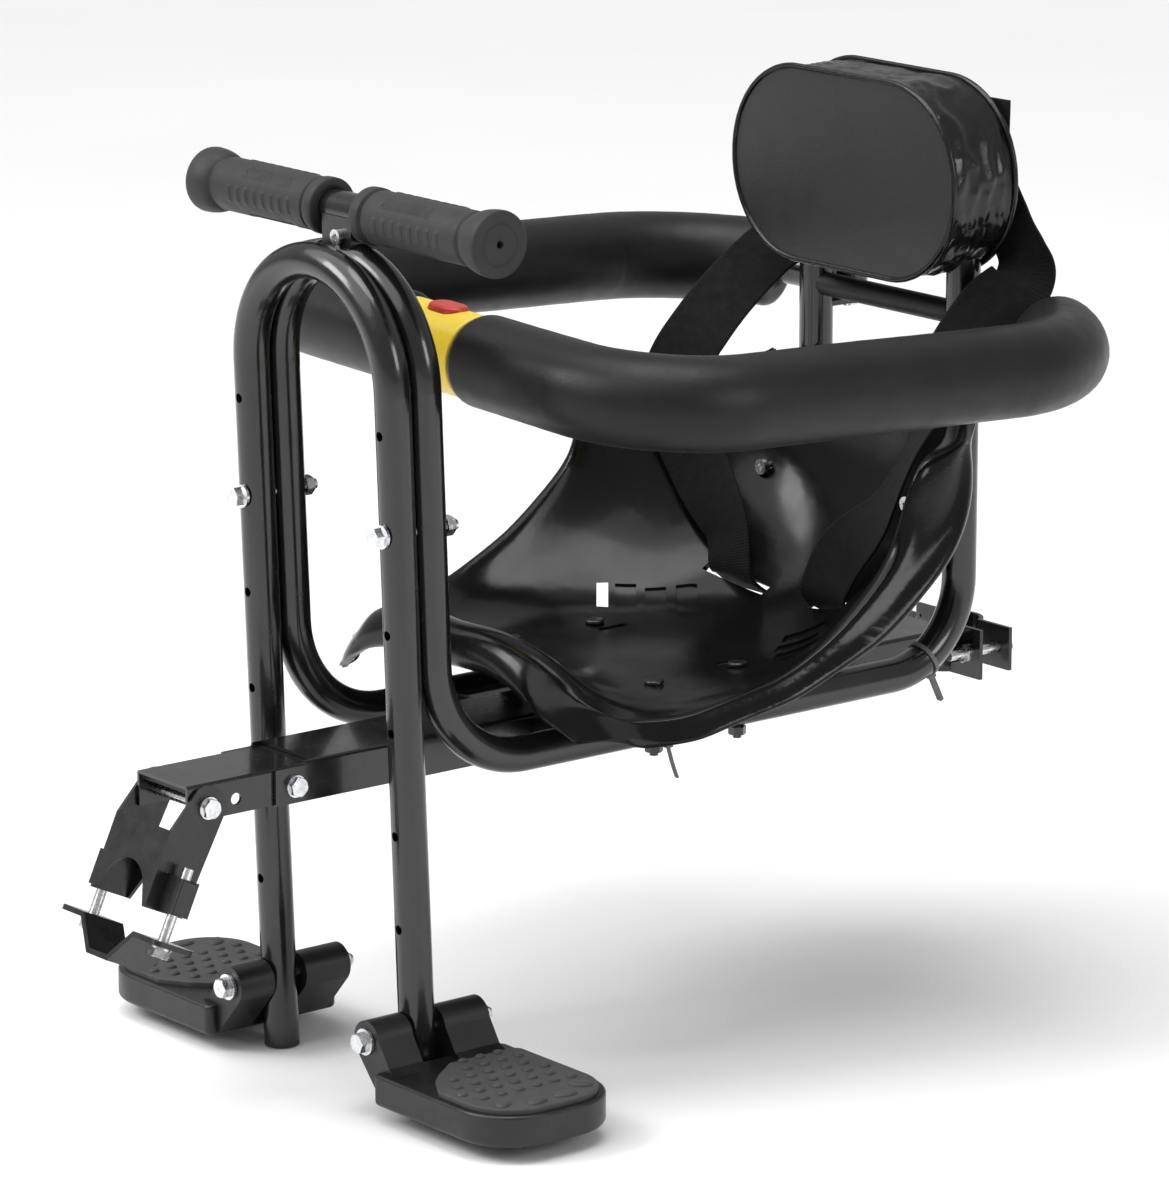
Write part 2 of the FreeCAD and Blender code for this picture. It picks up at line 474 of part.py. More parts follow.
shell = shell_solid(0.0, SHELL_T)
skin = shell_solid(-1.0, 1.6)
print("shell raw", shell.isValid(), shell.isClosed(), round(shell.Volume))
slot_cuts = []
for sx in (1, -1):
    # strap slot at the foot of the back, a vent and three sunk windows round the rear corner of the pan, a slot in the pan
    s = box(19.9, 62.1, -4.0, 4.0, -18.0, 18.0)
    s.rotate(V(0, 0, 0), V(1, 0, 0), 47.0)
    s.translate(V(0, 330.0, -93.0))
    slot_cuts.append(s if sx > 0 else mirror_x(s))
    for vx, vy, w, through in ((83.0, 263.0, 3.4, True), (70.0, 270.0, 6.2, False), (57.0, 282.0, 6.2, False), (46.0, 296.5, 6.2, False)):
        s = box(-w, w, -4.0, 20.0, -110.5, -97.5)
        s.rotate(V(0, 0, 0), V(0, 0, 1), -51.0)
        s.translate(V(vx, vy, 0))
        if not through:
            s = s.common(skin)
        slot_cuts.append(s if sx > 0 else mirror_x(s))
    s = box(49.5, 54.5, 238.0, 254.0, -125.0, -100.0).fuse([cyl(2.5, (52.0, 238.0, -125), (52.0, 238.0, -100)), cyl(2.5, (52.0, 254.0, -125), (52.0, 254.0, -100))])
    slot_cuts.append(s if sx > 0 else mirror_x(s))
for x, y in SHELL_BOLTS:
    slot_cuts.append(cyl(2.8, (x, y, -130), (x, y, -100)))
for sx in (1, -1):
    slot_cuts.append(cyl(2.2, (sx * HALF_W, 340, -36), (sx * HALF_W, 399, -36)))
shell = shell.cut(slot_cuts)
shell = max(shell.Solids, key=lambda s: s.Volume)
add("seat_shell", shell)

sb, sn, ss = [], [], []
for x, y in SHELL_BOLTS:
    top = 0.3 + max(Part.makeLine(V(x + 5.6 * cx, y + 5.6 * cy, -130), V(x + 5.6 * cx, y + 5.6 * cy, -90)).common(shell).BoundBox.ZMax
                    for cx, cy in ((1, 0), (-1, 0), (0, 1), (0, -1), (0.7, 0.7), (0.7, -0.7)))
    print("bolt head", x, y, top)
    head = cyl(5.6, (x, y, top), (x, y, top + 2.0))
    head = head.makeFillet(1.3, [e for e in head.Edges if abs(e.CenterOfMass.z - top - 2.0) < 1e-6 and e.Curve.TypeId.endswith("Circle")])
    sb.append(head.fuse(cyl(2.5, (x, y, -153), (x, y, top + 1))).removeSplitter())
    sn.append(hexagon((x, y, -146.3), (x, y, -151.0), 9.0).cut(cyl(2.55, (x, y, -165), (x, y, -140))))
    low = min(Part.makeLine(V(x + 7.5 * cx, y + 7.5 * cy, -130), V(x + 7.5 * cx, y + 7.5 * cy, -90)).common(shell).BoundBox.ZMin
              for cx, cy in ((1, 0), (-1, 0), (0, 1), (0, -1), (-0.7, 0.7), (-0.7, -0.7)))
    sp = cyl(7.5, (x, y, -131), (x, y, low - 0.3)).cut([cyl(2.8, (x, y, -140), (x, y, -110)), frame_out])
    ss.append(max(sp.Solids, key=lambda s: s.Volume))
add("shell_bolts", group(*sb))
add("shell_nuts", group(*sn))
add("shell_spacers", group(*ss))


def back_y(x, z):
    """Where the back wall's front face is at (x, z)."""
    c = Part.makeLine(V(x, 300, z), V(x, 405, z)).common(shell)
    return c.BoundBox.YMin


ws = []
for sx in (1, -1):
    yb0 = min(back_y(sx * (HALF_W + 4.7 * math.cos(math.radians(k))), -36 + 4.7 * math.sin(math.radians(k))) for k in range(0, 360, 30)) + 0.6
    s = cyl(4.6, (sx * HALF_W, yb0 - 3.6, -36), (sx * HALF_W, yb0 - 0.9, -36)).fuse(cyl(1.6, (sx * HALF_W, yb0 - 2, -36), (sx * HALF_W, Y_UPRIGHT - 2, -36)))
    s = s.cut(hexagon((sx * HALF_W, yb0 - 1.8, -36), (sx * HALF_W, yb0 - 5, -36), 3.6))
    ws.append(s)
    print("back wall y", yb0)
add("wall_screws", group(*ws))

# ---------------------------------------------------------------- guard ring
zf, zr = Z_RING_F, ring_z(Y_RING_R)


def ring_half(sx, x_front, x_rear):
    return rounded_path([(sx * x_front, Y_RING_F, zf), (sx * X_RING, Y_RING_F, zf), (sx * X_RING, Y_RING_R, zr), (sx * x_rear, Y_RING_R, zr)],
                        [R_RING_F, R_RING_R])


def roll(s):
    s = s.copy()
    s.rotate(V(0, Y_RING_F, zf), V(0, 1, 0), RING_ROLL)
    return s


X_PIN, Y_PIN = HALF_W, Y_RING_R
EYE_R, EYE_H = 11.0, 17.0


def ring_tube(sx, x_front):
    w = ring_half(sx, x_front, X_PIN + 4.0)
    t = pipe(w, RING_R).cut(pipe(w, RING_IR))
    eye = cyl(EYE_R, (sx * X_PIN, Y_PIN, zr - EYE_H / 2), (sx * X_PIN, Y_PIN, zr + EYE_H / 2))
    neck = box(X_PIN, X_PIN + 20, Y_PIN - 7.0, Y_PIN + 7.0, zr - EYE_H / 2 + 1, zr + EYE_H / 2 - 1)
    if sx < 0:
        neck = mirror_x(neck)
    t = t.cut(box(-X_PIN - 14 if sx < 0 else X_PIN - 14, -X_PIN + 14 if sx < 0 else X_PIN + 14, Y_PIN - 20, Y_PIN + 20, zr - 20, zr + 20))
    t = t.fuse([neck, eye]).removeSplitter()
    t = t.cut(cyl(4.05, (sx * X_PIN, Y_PIN, zr - 30), (sx * X_PIN, Y_PIN, zr + 30)))
    return max(t.Solids, key=lambda s: s.Volume)


def ring_foam(sx, x_front):
    xc, yc = X_RING - R_RING_R, Y_RING_R - R_RING_R
    w = ring_half(sx, x_front, xc - 0.5)
    core = ring_half(sx, x_front - 2.0, xc - 2.5)
    f = pipe(w, FOAM_R).cut(pipe(core, RING_R + 0.15))
    # the rear end is square to the tube
    end = box(-200, 0, 0, 160, -40, 40)
    end.rotate(V(0, 0, 0), V(0, 0, 1), -math.degrees(math.asin((X_FOAM - xc) / R_RING_R)))
    end.translate(V(xc, yc, zr))
    f = f.cut(end if sx > 0 else mirror_x(end))
    return max(f.Solids, key=lambda s: s.Volume)


add("gate_tube", roll(ring_tube(1, SLEEVE_HALF + 0.8)))
add("gate_foam", roll(ring_foam(1, SLEEVE_HALF + 0.6)))
add("ring_tube", roll(ring_tube(-1, 14.0)))
add("ring_foam", roll(ring_foam(-1, SLEEVE_HALF + 0.4)))

tongue = box(8.0, 40.0, Y_RING_F - 5.0, Y_RING_F + 5.0, zf - 5.0, zf + 5.0)
tongue = tongue.makeChamfer(2.5, [e for e in tongue.Edges if abs(e.CenterOfMass.x - 8.0) < 1e-6])
tongue = tongue.fuse(cyl(RING_IR - 0.05, (SLEEVE_HALF + 2.0, Y_RING_F, zf), (SLEEVE_HALF + 26.0, Y_RING_F, zf))).removeSplitter()
add("gate_tongue", roll(tongue))

BTN_L, BTN_W = 26.0, 16.0


def stadium(cx, cy, length, width, z0, z1):
    r = width / 2
    h = length / 2 - r
    return box(cx - h, cx + h, cy - r, cy + r, z0, z1).fuse([cyl(r, (cx - h, cy, z0), (cx - h, cy, z1)), cyl(r, (cx + h, cy, z0), (cx + h, cy, z1))]).removeSplitter()


sleeve = cyl(SLEEVE_R, (-SLEEVE_HALF, Y_RING_F, zf), (SLEEVE_HALF, Y_RING_F, zf))
sleeve = sleeve.makeFillet(1.5, [e for e in sleeve.Edges if e.Curve.TypeId.endswith("Circle")])
sleeve = sleeve.cut([cyl(RING_R + 0.1, (-SLEEVE_HALF - 5, Y_RING_F, zf), (-13.9, Y_RING_F, zf)),
                     box(2.0, SLEEVE_HALF + 5, Y_RING_F - 9.8, Y_RING_F + 7.5, zf - 7.2, zf + 7.2),
                     stadium(X_BUTTON, Y_RING_F, BTN_L + 0.8, BTN_W + 0.8, zf + 9.6, zf + 40)])
add("latch_sleeve", roll(sleeve))
button = stadium(X_BUTTON, Y_RING_F, BTN_L, BTN_W, zf + 14.4, zf + 25.6)
button = button.makeFillet(2.2, [e for e in button.Edges if abs(e.CenterOfMass.z - zf - 25.6) < 1e-6])
add("release_button", roll(button))
hel = Part.makeHelix(1.15, 3.45, 4.0)
hp = Part.Wire([Part.Circle(V(4.0, 0, 0), V(0, 1, 0), 0.35).toShape()])
spr = Part.Wire(hel.Edges).makePipeShell([hp], True, True)
if spr.Volume < 0:
    spr.reverse()
spr.translate(V(X_BUTTON, Y_RING_F, zf + 10.3))
add("button_spring", roll(spr))

brk, pins = [], []
for sx in (1, -1):
    x = sx * X_PIN
    for s in (1, -1):
        z0 = zr + s * (EYE_H / 2 + 0.4)
        z1 = z0 + s * 3.0
        lo, hi = min(z0, z1), max(z0, z1)
        p = cyl(11.0, (x, Y_PIN, lo), (x, Y_PIN, hi)).fuse(box(x - 9, x + 9, Y_UPRIGHT, Y_PIN, lo, hi)).removeSplitter().cut(
            cyl(4.04, (x, Y_PIN, lo - 5), (x, Y_PIN, hi + 5)))
        p = roll(p).cut([frame_out, cyl(7.4, (-HALF_W, Y_UPRIGHT, Z_CROSS), (HALF_W, Y_UPRIGHT, Z_CROSS))])
        brk.append(max(p.Solids, key=lambda q: q.Volume))
    zt = zr + EYE_H / 2 + 3.45
    zb = zr - EYE_H / 2 - 3.45
    pin = cyl(4.0, (x, Y_PIN, zb - 3), (x, Y_PIN, zt + 1)).fuse([cyl(6.5, (x, Y_PIN, zt), (x, Y_PIN, zt + 3.0)), cyl(5.5, (x, Y_PIN, zb - 2.2), (x, Y_PIN, zb))]).removeSplitter()
    pins.append(roll(pin))
add("ring_brackets", group(*brk))
add("ring_pins", group(*pins))

# ---------------------------------------------------------------- backrest pad and shoulder straps
pad = box(-PAD_X, PAD_X, PAD_Y0, PAD_Y1, PAD_Z0, PAD_Z1)
pad = pad.makeFillet(PAD_CORNER, [e for e in pad.Edges if abs(e.CenterOfMass.y - (PAD_Y0 + PAD_Y1) / 2) < 1e-6])
pad = pad.makeFillet(9.0, [e for e in pad.Edges if abs(e.CenterOfMass.y - PAD_Y0) < 1e-3])
pad = pad.makeFillet(12.0, [e for e in pad.Edges if abs(e.CenterOfMass.y - PAD_Y1) < 1e-3])
pad = pad.cut([cyl(10.35, (s * HALF_W, Y_UPRIGHT, 60), (s * HALF_W, Y_UPRIGHT, Z_UPRIGHT_TOP + 1)) for s in (1, -1)])
add("backrest_pad", pad)

STRAP_W, STRAP_T = 38.0, 2.0
STRAP_LEFT = [((63.0, 427.6, 194.0), (1.0, 0.0, 0.0)),
              ((64.0, 428.0, 155.0), (1.0, 0.0, 0.1)),
              ((78.0, 430.5, 124.0), (0.93, 0.03, 0.3)),
              ((90.0, 430.5, 106.0), (0.88, 0.06, 0.15)),
              ((98.0, 422.0, 91.0), (0.66, 0.5, -0.5)),
              ((97.0, 398.0, 77.0), (0.5, 0.6, -0.62)),
              ((101.0, 366.0, 47.0), (0.75, 0.1, -0.6)),
              ((105.0, 337.0, 10.0), (0.8, -0.5, 0.1)),
              ((80.0, 334.0, -34.0), (0.72, -0.45, -0.4)),
              ((51.0, 330.0, -63.0), (0.9, -0.05, -0.42)),
              ((41.0, 326.0, -88.0), (1.0, 0.0, 0.0)),
              ((40.5, 341.0, -101.5), (1.0, 0.0, 0.0))]
STRAP_RIGHT = [((63.0, 427.6, 194.0), (1.0, 0.0, 0.0)),
         ((64.0, 428.0, 150.0), (1.0, 0.0, 0.1)),
         ((74.0, 429.5, 120.0), (0.92, 0.0, 0.38)),
         ((88.0, 429.0, 101.0), (0.82, 0.0, 0.55)),
         ((95.0, 396.0, 84.0), (0.83, -0.1, 0.5)),
         ((102.0, 357.0, 48.0), (0.8, -0.3, 0.45)),
         ((107.0, 336.0, 10.0), (0.75, -0.4, 0.45)),
         ((80.0, 334.0, -34.0), (0.72, -0.45, -0.4)),
         ((51.0, 330.0, -63.0), (0.9, -0.05, -0.42)),
         ((41.0, 326.0, -88.0), (1.0, 0.0, 0.0)),
         ((40.5, 341.0, -101.5), (1.0, 0.0, 0.0))]


def strap_stations(STRAP):
    """Centre and width direction at even steps along the strap's smooth path."""
    out, n = [], len(STRAP)
    for i in range(n - 1):
        q = [STRAP[max(i - 1, 0)], STRAP[i], STRAP[i + 1], STRAP[min(i + 2, n - 1)]]
        for j in range(4):
            out.append([V(*[cat(q[0][m][e], q[1][m][e], q[2][m][e], q[3][m][e], j / 4.0) for e in range(3)]) for m in (0, 1)])
    out.append([V(*STRAP[-1][0]), V(*STRAP[-1][1])])
    return out


def strap_solid(sx):
    st = strap_stations(STRAP_LEFT if sx > 0 else STRAP_RIGHT)
    rows = []
    for i, (c, w) in enumerate(st):
        t = (st[min(i + 1, len(st) - 1)][0] - st[max(i - 1, 0)][0]).normalize()
        w = (w - t * w.dot(t)).normalize()
        nn = w.cross(t).normalize()
        h, k = w * (STRAP_W / 2), nn * (STRAP_T / 2)
        rows.append([V(sx * p.x, p.y, p.z) for p in (c + h + k, c - h + k, c - h - k, c + h - k)])
    tris = []
    for a, b_ in zip(rows, rows[1:]):
        for j in range(4):
            j2 = (j + 1) % 4
            tris += [(a[j], a[j2], b_[j2]), (a[j], b_[j2], b_[j])]
    for e in (rows[0], rows[-1]):
        tris += [(e[0], e[1], e[2]), (e[0], e[2], e[3])]
    sh_ = Part.Shell([Part.Face(Part.makePolygon([p, q, r, p])) for p, q, r in tris])
    sh_.sewShape()
    s = Part.Solid(sh_)
    if s.Volume < 0:
        s.reverse()
    print("strap", s.isValid(), s.isClosed(), round(s.Volume), "length", round(sum((y[0] - x[0]).Length for x, y in zip(st, st[1:])), 1))
    return s


add("shoulder_strap_left", strap_solid(1))
add("shoulder_strap_right", strap_solid(-1))

# ---------------------------------------------------------------- pedals
def plate(x0, x1, y0, y1, z0, z1, r_out, r_in):
    p = box(x0, x1, y0, y1, z0, z1)
    es = [e for e in p.Edges if abs(e.CenterOfMass.z - (z0 + z1) / 2) < 1e-6]
    p = p.makeFillet(r_out, [e for e in es if abs(e.CenterOfMass.x - x1) < 1e-6])
    p = p.makeFillet(r_in, [e for e in p.Edges if abs(e.CenterOfMass.z - (z0 + z1) / 2) < 1e-6 and abs(e.CenterOfMass.x - x0) < 1e-6])
    return p


def top_bottom_edges(p, z):
    return [e for e in p.Edges if abs(e.BoundBox.ZMin - z) < 1e-6 and abs(e.BoundBox.ZMax - z) < 1e-6]


def pedal():
    p = plate(PEDAL_IN, PEDAL_OUT, PEDAL_Y0, PEDAL_Y1, PEDAL_Z0, PEDAL_Z1, 34.0, 4.0)
    p = p.makeFillet(2.0, top_bottom_edges(p, PEDAL_Z1))
    p = p.makeFillet(3.0, top_bottom_edges(p, PEDAL_Z0))
    for y0, y1 in ((-21.0, 2.1), (24.3, 55.0)):
        k = cyl(KNUCKLE_R, (HALF_W, y0, Z_HINGE), (HALF_W, y1, Z_HINGE))
        arm = Part.Face(Part.makePolygon([V(HALF_W, y0, Z_HINGE + KNUCKLE_R), V(HALF_W + 6, y0, Z_HINGE + 9.8), V(HALF_W + 20, y0, PEDAL_Z1 + 3.0), V(HALF_W + 26, y0, PEDAL_Z1),
                                          V(HALF_W + 26, y0, PEDAL_Z0 + 5), V(PEDAL_IN - 1, y0, PEDAL_Z0 + 2), V(HALF_W - 9, y0, Z_HINGE - 7.2), V(HALF_W, y0, Z_HINGE), V(HALF_W, y0, Z_HINGE + KNUCKLE_R)])).extrude(V(0, y1 - y0, 0))
        p = p.fuse([k, arm])
    p = p.removeSplitter()
    p = p.cut(cyl(3.05, (HALF_W, -60, Z_HINGE), (HALF_W, 90, Z_HINGE)))
    return max(p.Solids, key=lambda s: s.Volume)


MAT_T = 2.8


def mat():
    m = plate(PEDAL_IN + 18, PEDAL_OUT - 4, PEDAL_Y0 + 4, PEDAL_Y1 - 4, PEDAL_Z1 + 0.02, PEDAL_Z1 + MAT_T, 30.0, 6.0)
    corner = Part.Face(Part.makePolygon([V(86, -34, -300), V(136, -34, -300), V(131, -23, -300), V(114, -12.5, -300), V(106, -4, -300), V(94.5, 12, -300), V(86, 12, -300), V(86, -34, -300)]))
    m = m.cut(corner.extrude(V(0, 0, 20)))
    return m.makeFillet(0.8, top_bottom_edges(m, PEDAL_Z1 + MAT_T))


pl, ml = pedal(), mat()
add("pedal_left", pl)
add("pedal_right", mirror_x(pl))
add("pedal_mat_left", ml)
add("pedal_mat_right", mirror_x(ml))
pb, pw, pn = [], [], []
for sx in (1, -1):
    x = sx * HALF_W
    pb.append(hexagon((x, -23.2, Z_HINGE), (x, -28.4, Z_HINGE), 10.0, 5).fuse(cyl(3.0, (x, -26, Z_HINGE), (x, 63.5, Z_HINGE))))
    pw.append(cyl(7.4, (x, -23.1, Z_HINGE), (x, -21.4, Z_HINGE)).cut(cyl(3.1, (x, -30, Z_HINGE), (x, -10, Z_HINGE))))
    pn.append(hexagon((x, 55.4, Z_HINGE), (x, 60.6, Z_HINGE), 10.0, 18).cut(cyl(3.04, (x, 40, Z_HINGE), (x, 70, Z_HINGE))))
add("pedal_bolts", group(*pb))
add("pedal_washers", group(*pw))
add("pedal_nuts", group(*pn))

# ---------------------------------------------------------------- shift to the origin and write
ct, st = math.cos(math.radians(TILT)), math.sin(math.radians(TILT))
OX, OY, OZ = 0.0, Y_PIVOT - CLAMP_D * st - CLAMP_N * ct, Z_PIVOT - CLAMP_D * ct + CLAMP_N * st
print("origin in working axes", OX, OY, OZ)
for name, s in PARTS.items():
    s = s.copy()
    s.translate(V(-OX, -OY, -OZ))
    if not s.isValid() or any(q.Volume <= 0 for q in s.Solids) or not s.Solids:
        print("CHECK", name, s.isValid(), [round(q.Volume, 1) for q in s.Solids])
    s.exportStep("parts/%s.step" % name)
    bb = s.BoundBox
    print("%-22s %3d solids %9.0f mm3  x %.1f..%.1f y %.1f..%.1f z %.1f..%.1f" % (
        name, len(s.Solids), sum(q.Volume for q in s.Solids), bb.XMin, bb.XMax, bb.YMin, bb.YMax, bb.ZMin, bb.ZMax))
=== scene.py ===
import bpy
import bmesh
import math
import numpy as np
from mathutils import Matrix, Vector, noise


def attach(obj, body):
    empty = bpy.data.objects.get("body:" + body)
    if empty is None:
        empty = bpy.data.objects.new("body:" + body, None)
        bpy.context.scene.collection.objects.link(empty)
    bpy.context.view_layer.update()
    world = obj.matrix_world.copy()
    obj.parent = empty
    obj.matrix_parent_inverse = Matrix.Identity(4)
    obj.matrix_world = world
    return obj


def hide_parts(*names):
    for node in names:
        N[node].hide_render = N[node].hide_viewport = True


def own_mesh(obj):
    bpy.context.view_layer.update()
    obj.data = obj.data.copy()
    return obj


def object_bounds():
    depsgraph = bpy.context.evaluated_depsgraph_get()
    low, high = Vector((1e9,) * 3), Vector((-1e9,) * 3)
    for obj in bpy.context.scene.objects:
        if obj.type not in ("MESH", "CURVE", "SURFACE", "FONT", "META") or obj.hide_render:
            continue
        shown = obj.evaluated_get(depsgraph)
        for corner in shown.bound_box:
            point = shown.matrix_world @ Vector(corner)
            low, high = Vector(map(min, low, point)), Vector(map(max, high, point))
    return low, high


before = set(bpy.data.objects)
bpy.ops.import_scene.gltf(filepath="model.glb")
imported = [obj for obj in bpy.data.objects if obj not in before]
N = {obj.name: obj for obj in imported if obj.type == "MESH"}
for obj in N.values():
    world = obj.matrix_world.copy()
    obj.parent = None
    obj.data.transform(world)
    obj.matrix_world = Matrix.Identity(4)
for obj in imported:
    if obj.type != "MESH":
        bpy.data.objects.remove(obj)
cad_lo, cad_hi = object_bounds()
scene = bpy.context.scene


def W(x, y, z):
    """Working millimetres (zero between the hoop bolts) to the part's frame in metres."""
    return Vector((x / 1000.0, (y + 126.13402889) / 1000.0, (z + 193.41049851) / 1000.0))


# ---------------------------------------------------------------- camera
cam_data = bpy.data.cameras.new("camera")
cam = bpy.data.objects.new("camera", cam_data)
scene.collection.objects.link(cam)
cam.location = (2.59070, -1.77895, 0.93370)
cam.rotation_euler = (math.radians(90.0 - 13.788), 0.0, math.radians(51.135))
cam_data.lens = 181.98
cam_data.sensor_width = 36.0
cam_data.clip_start, cam_data.clip_end = 0.05, 60.0
scene.camera = cam


# ---------------------------------------------------------------- material helpers
class Mat:
    def __init__(self, name, color=(0.5, 0.5, 0.5), rough=0.5, metal=0.0, **sockets):
        self.m = bpy.data.materials.new(name)
        self.m.use_nodes = True
        self.nt = self.m.node_tree
        self.b = self.nt.nodes["Principled BSDF"]
        self.b.inputs["Base Color"].default_value = (*color, 1.0)
        self.b.inputs["Roughness"].default_value = rough
        self.b.inputs["Metallic"].default_value = metal
        for k, v in sockets.items():
            self.b.inputs[k.replace("_", " ")].default_value = v
        self.tc = self.nt.nodes.new("ShaderNodeTexCoord")
        self.normal = None

    def node(self, kind, **props):
        n = self.nt.nodes.new(kind)
        for k, v in props.items():
            setattr(n, k, v)
        return n

    def link(self, a, b):
        self.nt.links.new(a, b)

    def coords(self, scale=(1, 1, 1), uv=False):
        if scale == (1, 1, 1):
            return self.tc.outputs["UV" if uv else "Object"]
        mp = self.node("ShaderNodeMapping")
        mp.inputs["Scale"].default_value = scale
        self.link(self.tc.outputs["UV" if uv else "Object"], mp.inputs["Vector"])
        return mp.outputs["Vector"]

    def noise(self, scale, detail=3.0, rough=0.55, stretch=(1, 1, 1), distortion=0.0):
        n = self.node("ShaderNodeTexNoise")
        n.inputs["Scale"].default_value = scale
        n.inputs["Detail"].default_value = detail
        n.inputs["Roughness"].default_value = rough
        n.inputs["Distortion"].default_value = distortion
        self.link(self.coords(stretch), n.inputs["Vector"])
        return n.outputs["Fac"]

    def voronoi(self, scale, feature="F1", stretch=(1, 1, 1)):
        n = self.node("ShaderNodeTexVoronoi", feature=feature)
        n.inputs["Scale"].default_value = scale
        self.link(self.coords(stretch), n.inputs["Vector"])
        return n.outputs["Distance"]

    def wave(self, scale, direction="X", uv=False, distortion=0.0, profile="SIN"):
        n = self.node("ShaderNodeTexWave", wave_type="BANDS", bands_direction=direction, wave_profile=profile)
        n.inputs["Scale"].default_value = scale
        n.inputs["Distortion"].default_value = distortion
        self.link(self.coords(uv=uv), n.inputs["Vector"])
        return n.outputs["Fac"]

    def ramp(self, fac, stops):
        r = self.node("ShaderNodeValToRGB")
        els = r.color_ramp.elements
        while len(els) < len(stops):
            els.new(0.5)
        for e, (p, c) in zip(els, stops):
            e.position = p
            e.color = (*c, 1.0) if len(c) == 3 else c
        self.link(fac, r.inputs["Fac"])
        return r.outputs["Color"]

    def span(self, fac, lo, hi, a=0.0, b=1.0):
        r = self.node("ShaderNodeMapRange")
        r.inputs["From Min"].default_value = a
        r.inputs["From Max"].default_value = b
        r.inputs["To Min"].default_value = lo
        r.inputs["To Max"].default_value = hi
        self.link(fac, r.inputs["Value"])
        return r.outputs["Result"]

    def math(self, op, a, b):
        n = self.node("ShaderNodeMath", operation=op)
        for s, v in zip(n.inputs, (a, b)):
            if isinstance(v, (int, float)):
                s.default_value = v
            else:
                self.link(v, s)
        return n.outputs["Value"]

    def color(self, fac, stops):
        self.link(self.ramp(fac, stops), self.b.inputs["Base Color"])
        return self

    def rough(self, fac, lo, hi, a=0.3, b=0.7):
        self.link(self.span(fac, lo, hi, a, b), self.b.inputs["Roughness"])
        return self

    def bump(self, height, strength, distance):
        n = self.node("ShaderNodeBump")
        n.inputs["Strength"].default_value = strength
        n.inputs["Distance"].default_value = distance
        self.link(height, n.inputs["Height"])
        if self.normal is not None:
            self.link(self.normal, n.inputs["Normal"])
        self.normal = n.outputs["Normal"]
        self.link(self.normal, self.b.inputs["Normal"])
        return self


def g(v):
    return (v, v, v * 1.04)


# gloss black powder coat: faint orange peel, cloudy gloss, a few dull rubs
paint = Mat("gloss_black_paint", g(0.006), 0.2, 0.0, Coat_Weight=0.35, Coat_Roughness=0.07, Specular_IOR_Level=0.5)
cloud = paint.noise(38.0, 4.0, 0.6)
paint.color(cloud, [(0.30, g(0.0045)), (0.62, g(0.0075)), (0.80, g(0.012))])
paint.rough(paint.noise(55.0, 5.0, 0.65), 0.15, 0.30)
paint.bump(paint.noise(620.0, 2.0, 0.5), 0.05, 0.0006)

# folded sheet brackets: same paint, thinner and a little rougher
sheet_paint = Mat("bracket_black_paint", g(0.006), 0.28, 0.0, Coat_Weight=0.2, Coat_Roughness=0.12)
sheet_paint.color(sheet_paint.noise(60.0, 4.0, 0.6), [(0.3, g(0.005)), (0.7, g(0.009)), (0.82, g(0.02))])
sheet_paint.rough(sheet_paint.noise(80.0, 5.0, 0.65), 0.22, 0.42)
sheet_paint.bump(sheet_paint.noise(760.0, 2.0, 0.5), 0.08, 0.0006)

zinc = Mat("bright_zinc", (0.74, 0.745, 0.76), 0.25, 1.0)
zinc.color(zinc.noise(240.0, 4.0, 0.6), [(0.25, (0.52, 0.53, 0.56)), (0.55, (0.76, 0.765, 0.78)), (0.8, (0.83, 0.82, 0.78))])
zinc.rough(zinc.noise(420.0, 4.0, 0.6), 0.14, 0.36)
zinc.bump(zinc.noise(1600.0, 2.0, 0.5), 0.12, 0.0003)

foam = Mat("foam_sleeve", g(0.010), 0.44, 0.0, Sheen_Weight=0.03, Sheen_Roughness=0.45, Specular_IOR_Level=0.28)
foam.color(foam.noise(26.0, 5.0, 0.6), [(0.28, g(0.0050)), (0.55, g(0.0068)), (0.8, g(0.0095))])
foam.rough(foam.noise(70.0, 5.0, 0.6), 0.36, 0.48)
foam.bump(foam.noise(60.0, 3.0, 0.5), 0.10, 0.0022)
foam.bump(foam.voronoi(1500.0), 0.16, 0.0004)

rubber = Mat("grip_rubber", g(0.016), 0.62, 0.0, Sheen_Weight=0.06, Sheen_Roughness=0.5, Specular_IOR_Level=0.4)
rubber.color(rubber.noise(60.0, 5.0, 0.65), [(0.25, g(0.0115)), (0.55, g(0.016)), (0.82, g(0.023))])
rubber.rough(rubber.noise(120.0, 4.0, 0.6), 0.52, 0.72)
rubber.bump(rubber.noise(1500.0, 3.0, 0.6), 0.18, 0.0004)

leather = Mat("pad_leather_face", g(0.012), 0.42, 0.0, Specular_IOR_Level=0.5, Sheen_Weight=0.05, Sheen_Roughness=0.5)
leather.color(leather.noise(18.0, 5.0, 0.6), [(0.25, g(0.0050)), (0.55, g(0.0068)), (0.8, g(0.0095))])
leather.rough(leather.noise(45.0, 5.0, 0.6), 0.36, 0.5)
leather.bump(leather.voronoi(620.0), 0.12, 0.0005)
leather.bump(leather.noise(1900.0, 2.0, 0.6), 0.10, 0.0003)

leather_band = Mat("pad_leather_band", g(0.006), 0.24, 0.0, Specular_IOR_Level=0.4)
leather_band.color(leather_band.noise(30.0, 5.0, 0.6), [(0.25, g(0.0035)), (0.6, g(0.0050)), (0.82, g(0.0075))])
leather_band.rough(leather_band.noise(70.0, 5.0, 0.6), 0.18, 0.30)
leather_band.bump(leather_band.voronoi(700.0), 0.08, 0.0004)
leather_band.bump(leather_band.noise(110.0, 3.0, 0.5, distortion=0.6), 0.10, 0.0012)

